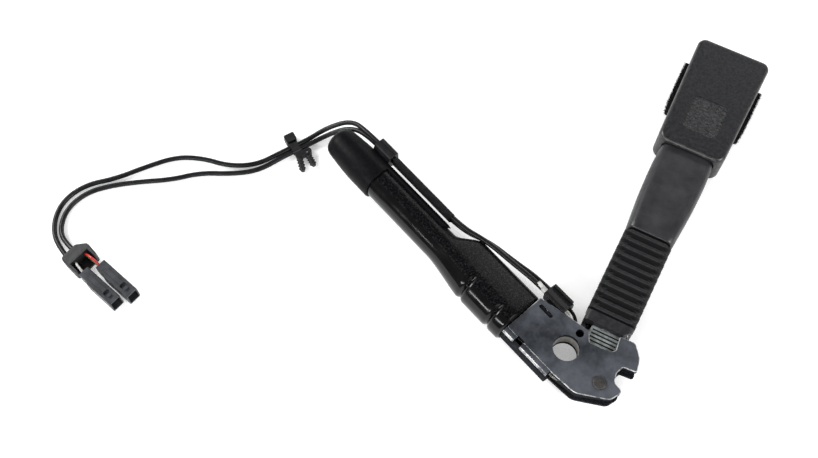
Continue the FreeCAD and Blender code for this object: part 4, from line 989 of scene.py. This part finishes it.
refinish(rear_shell, panel_grain, in_panel)
refinish(rear_shell, shell_worn_and_highlight, lambda face: on_edge(face) and not in_panel(face))
from_solid("front_shell", "head_front", shell_grain, edge=0.00015, body="buckle", soft=40)


# Felt: black needled felt, cut from a sheet and glued round the head's front and sides so that the buckle
# doesn't rattle on the seat. Loose fibres stand out at both sides.

felt_black = surface("black_felt", (0.004, 0.004, 0.004), 0.95, Specular_IOR_Level=0.1)
tint(felt_black, pattern(felt_black, NOISE, 600, Detail=8.0, Roughness=0.7),
     (0.001, 0.001, 0.001), (0.016, 0.016, 0.017), 0.40, 0.65)
relief(felt_black, pattern(felt_black, NOISE, 1400, Detail=5.0, Roughness=0.75), 0.0005, 1.0)
felt = from_solid("felt_wrap", "felt_pad", felt_black, edge=0.0002, body="buckle")

fibre_half = 0.00007
fibre_stray, fibre_curl = 0.8, 0.4
elbow_at, elbow_taper = 0.6, 0.8
shortest_share = 0.35
side_from = 0.0195
least_area = 1e-8


def fibres(name, source, count, longest, material):
    """Loose fibres of a felt pad: thin bent slivers that stand out of its surface."""
    chance = random.Random(7)
    faces = [face for face in source.data.polygons
             if face.area > least_area and abs(face.center.x - stalk_x) > side_from]
    areas = [face.area for face in faces]
    places = []
    slivers = []
    for face in chance.choices(faces, weights=areas, k=count):
        corners = [source.data.vertices[i].co for i in face.vertices]
        shares = [chance.random() ** 3 + 0.001 for corner in corners]
        root = sum((corner * share for corner, share in zip(corners, shares)), Vector()) / sum(shares)
        lean = Vector([chance.uniform(-1, 1) for axis in range(3)])
        way = (face.normal + fibre_stray * lean).normalized()
        side = way.cross(lean).normalized() * fibre_half
        long = longest * chance.uniform(shortest_share, 1)
        bend = Vector([chance.uniform(-1, 1) for axis in range(3)]) * long * fibre_curl
        elbow = root + way * long * elbow_at
        tip = root + way * long + bend
        first = len(places)
        places += [root - side, root + side, elbow + side * elbow_taper, elbow - side * elbow_taper,
                   tip]
        places[first:] = [Vector((place.x, place.y, max(place.z, table_top))) for place in places[first:]]
        slivers += [(first, first + 1, first + 2, first + 3), (first + 3, first + 2, first + 4)]
    fluff = bpy.data.meshes.new(name)
    fluff.from_pydata(places, [], slivers)
    fluff.materials.append(material)
    piece = bpy.data.objects.new(name, fluff)
    bpy.context.collection.objects.link(piece)
    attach(piece, "buckle")
    return piece


fibres("felt_fibres", felt, count=5200, longest=0.0016, material=felt_black)


# Release button, tongue guide and what lies inside: the button and the guide are mouldings that show in the
# head's mouth. Behind them are the plated steel latch, the black acetal slides, the rope and its crimp.

button_red = surface("button_red", (0.42, 0.012, 0.010), 0.3, Specular_IOR_Level=0.5)
tint(button_red, pattern(button_red, NOISE, 90, Detail=6.0),
     (0.30, 0.008, 0.007), (0.46, 0.014, 0.012), 0.3, 0.7)
relief(button_red, pattern(button_red, NOISE, 2000, Detail=2.0), 0.00004, 0.6)
from_solid("release_button", "button_moulding", button_red, edge=0.0005,
           body="button")

acetal = surface("black_acetal", (0.022, 0.022, 0.023), 0.38)
tint(acetal, pattern(acetal, NOISE, 200, Detail=5.0), (0.016, 0.016, 0.017), (0.030, 0.030, 0.031))
relief(acetal, pattern(acetal, NOISE, 1800, Detail=2.0), 0.00004, 0.5)

plated = surface("zinc_plate", (0.42, 0.42, 0.41), 0.3, Metallic=1.0)
tint(plated, pattern(plated, NOISE, 240, Detail=6.0), (0.30, 0.30, 0.28), (0.48, 0.48, 0.47))
polish(plated, pattern(plated, NOISE, 900, stretch=(1, 6, 1), Detail=4.0), 0.22, 0.42)

strand = surface("rope_strand", (0.32, 0.32, 0.31), 0.35, Metallic=1.0)
relief(strand, pattern(strand, WAVE, 330, turn=(0, 0, math.radians(35)), Distortion=0.0), 0.0004, 1.0)
tint(strand, pattern(strand, NOISE, 700, Detail=5.0), (0.16, 0.15, 0.13), (0.36, 0.36, 0.35))

seal_black = surface("seal_rubber", (0.02, 0.02, 0.02), 0.5)
relief(seal_black, pattern(seal_black, NOISE, 1200, Detail=2.0), 0.00005, 0.5)


def dress(material, *names):
    """A better finish on solids whose shape is right as it is."""
    for name in names:
        for slot in nodes[name].material_slots:
            slot.material = material


dress(acetal, "release_slider", "ejector", "tongue_guide", "buckle_switch", "rope_stiffener")
dress(plated, "latch_frame", "latch", "latch_pin", "crimp_pin", "rope_crimp", "piston", "lock_balls",
      "rope_ferrule", "gas_generator")
dress(strand, "rope_wrap", "rope_tail")
dress(seal_black, "piston_seal")
dress(grey_nylon, "squib_plug")
dress(jacket, "lead_to_boot")
dress(pale, "squib_wires")


# Springs, rope and switch lead: coil springs of plated wire, the steel rope and the switch's black lead.

def shortened(node, name, material):
    """The solid's own surface, as a piece of its own with a mesh of its own."""
    piece = from_solid(node, name, material, edge=0, body="buckle")
    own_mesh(piece)


shortened("release_springs", "button_springs", plated)
shortened("ejector_spring", "ejector_coil", plated)
shortened("rope_stalk", "stalk_rope", strand)
shortened("switch_lead", "switch_wire", jacket)
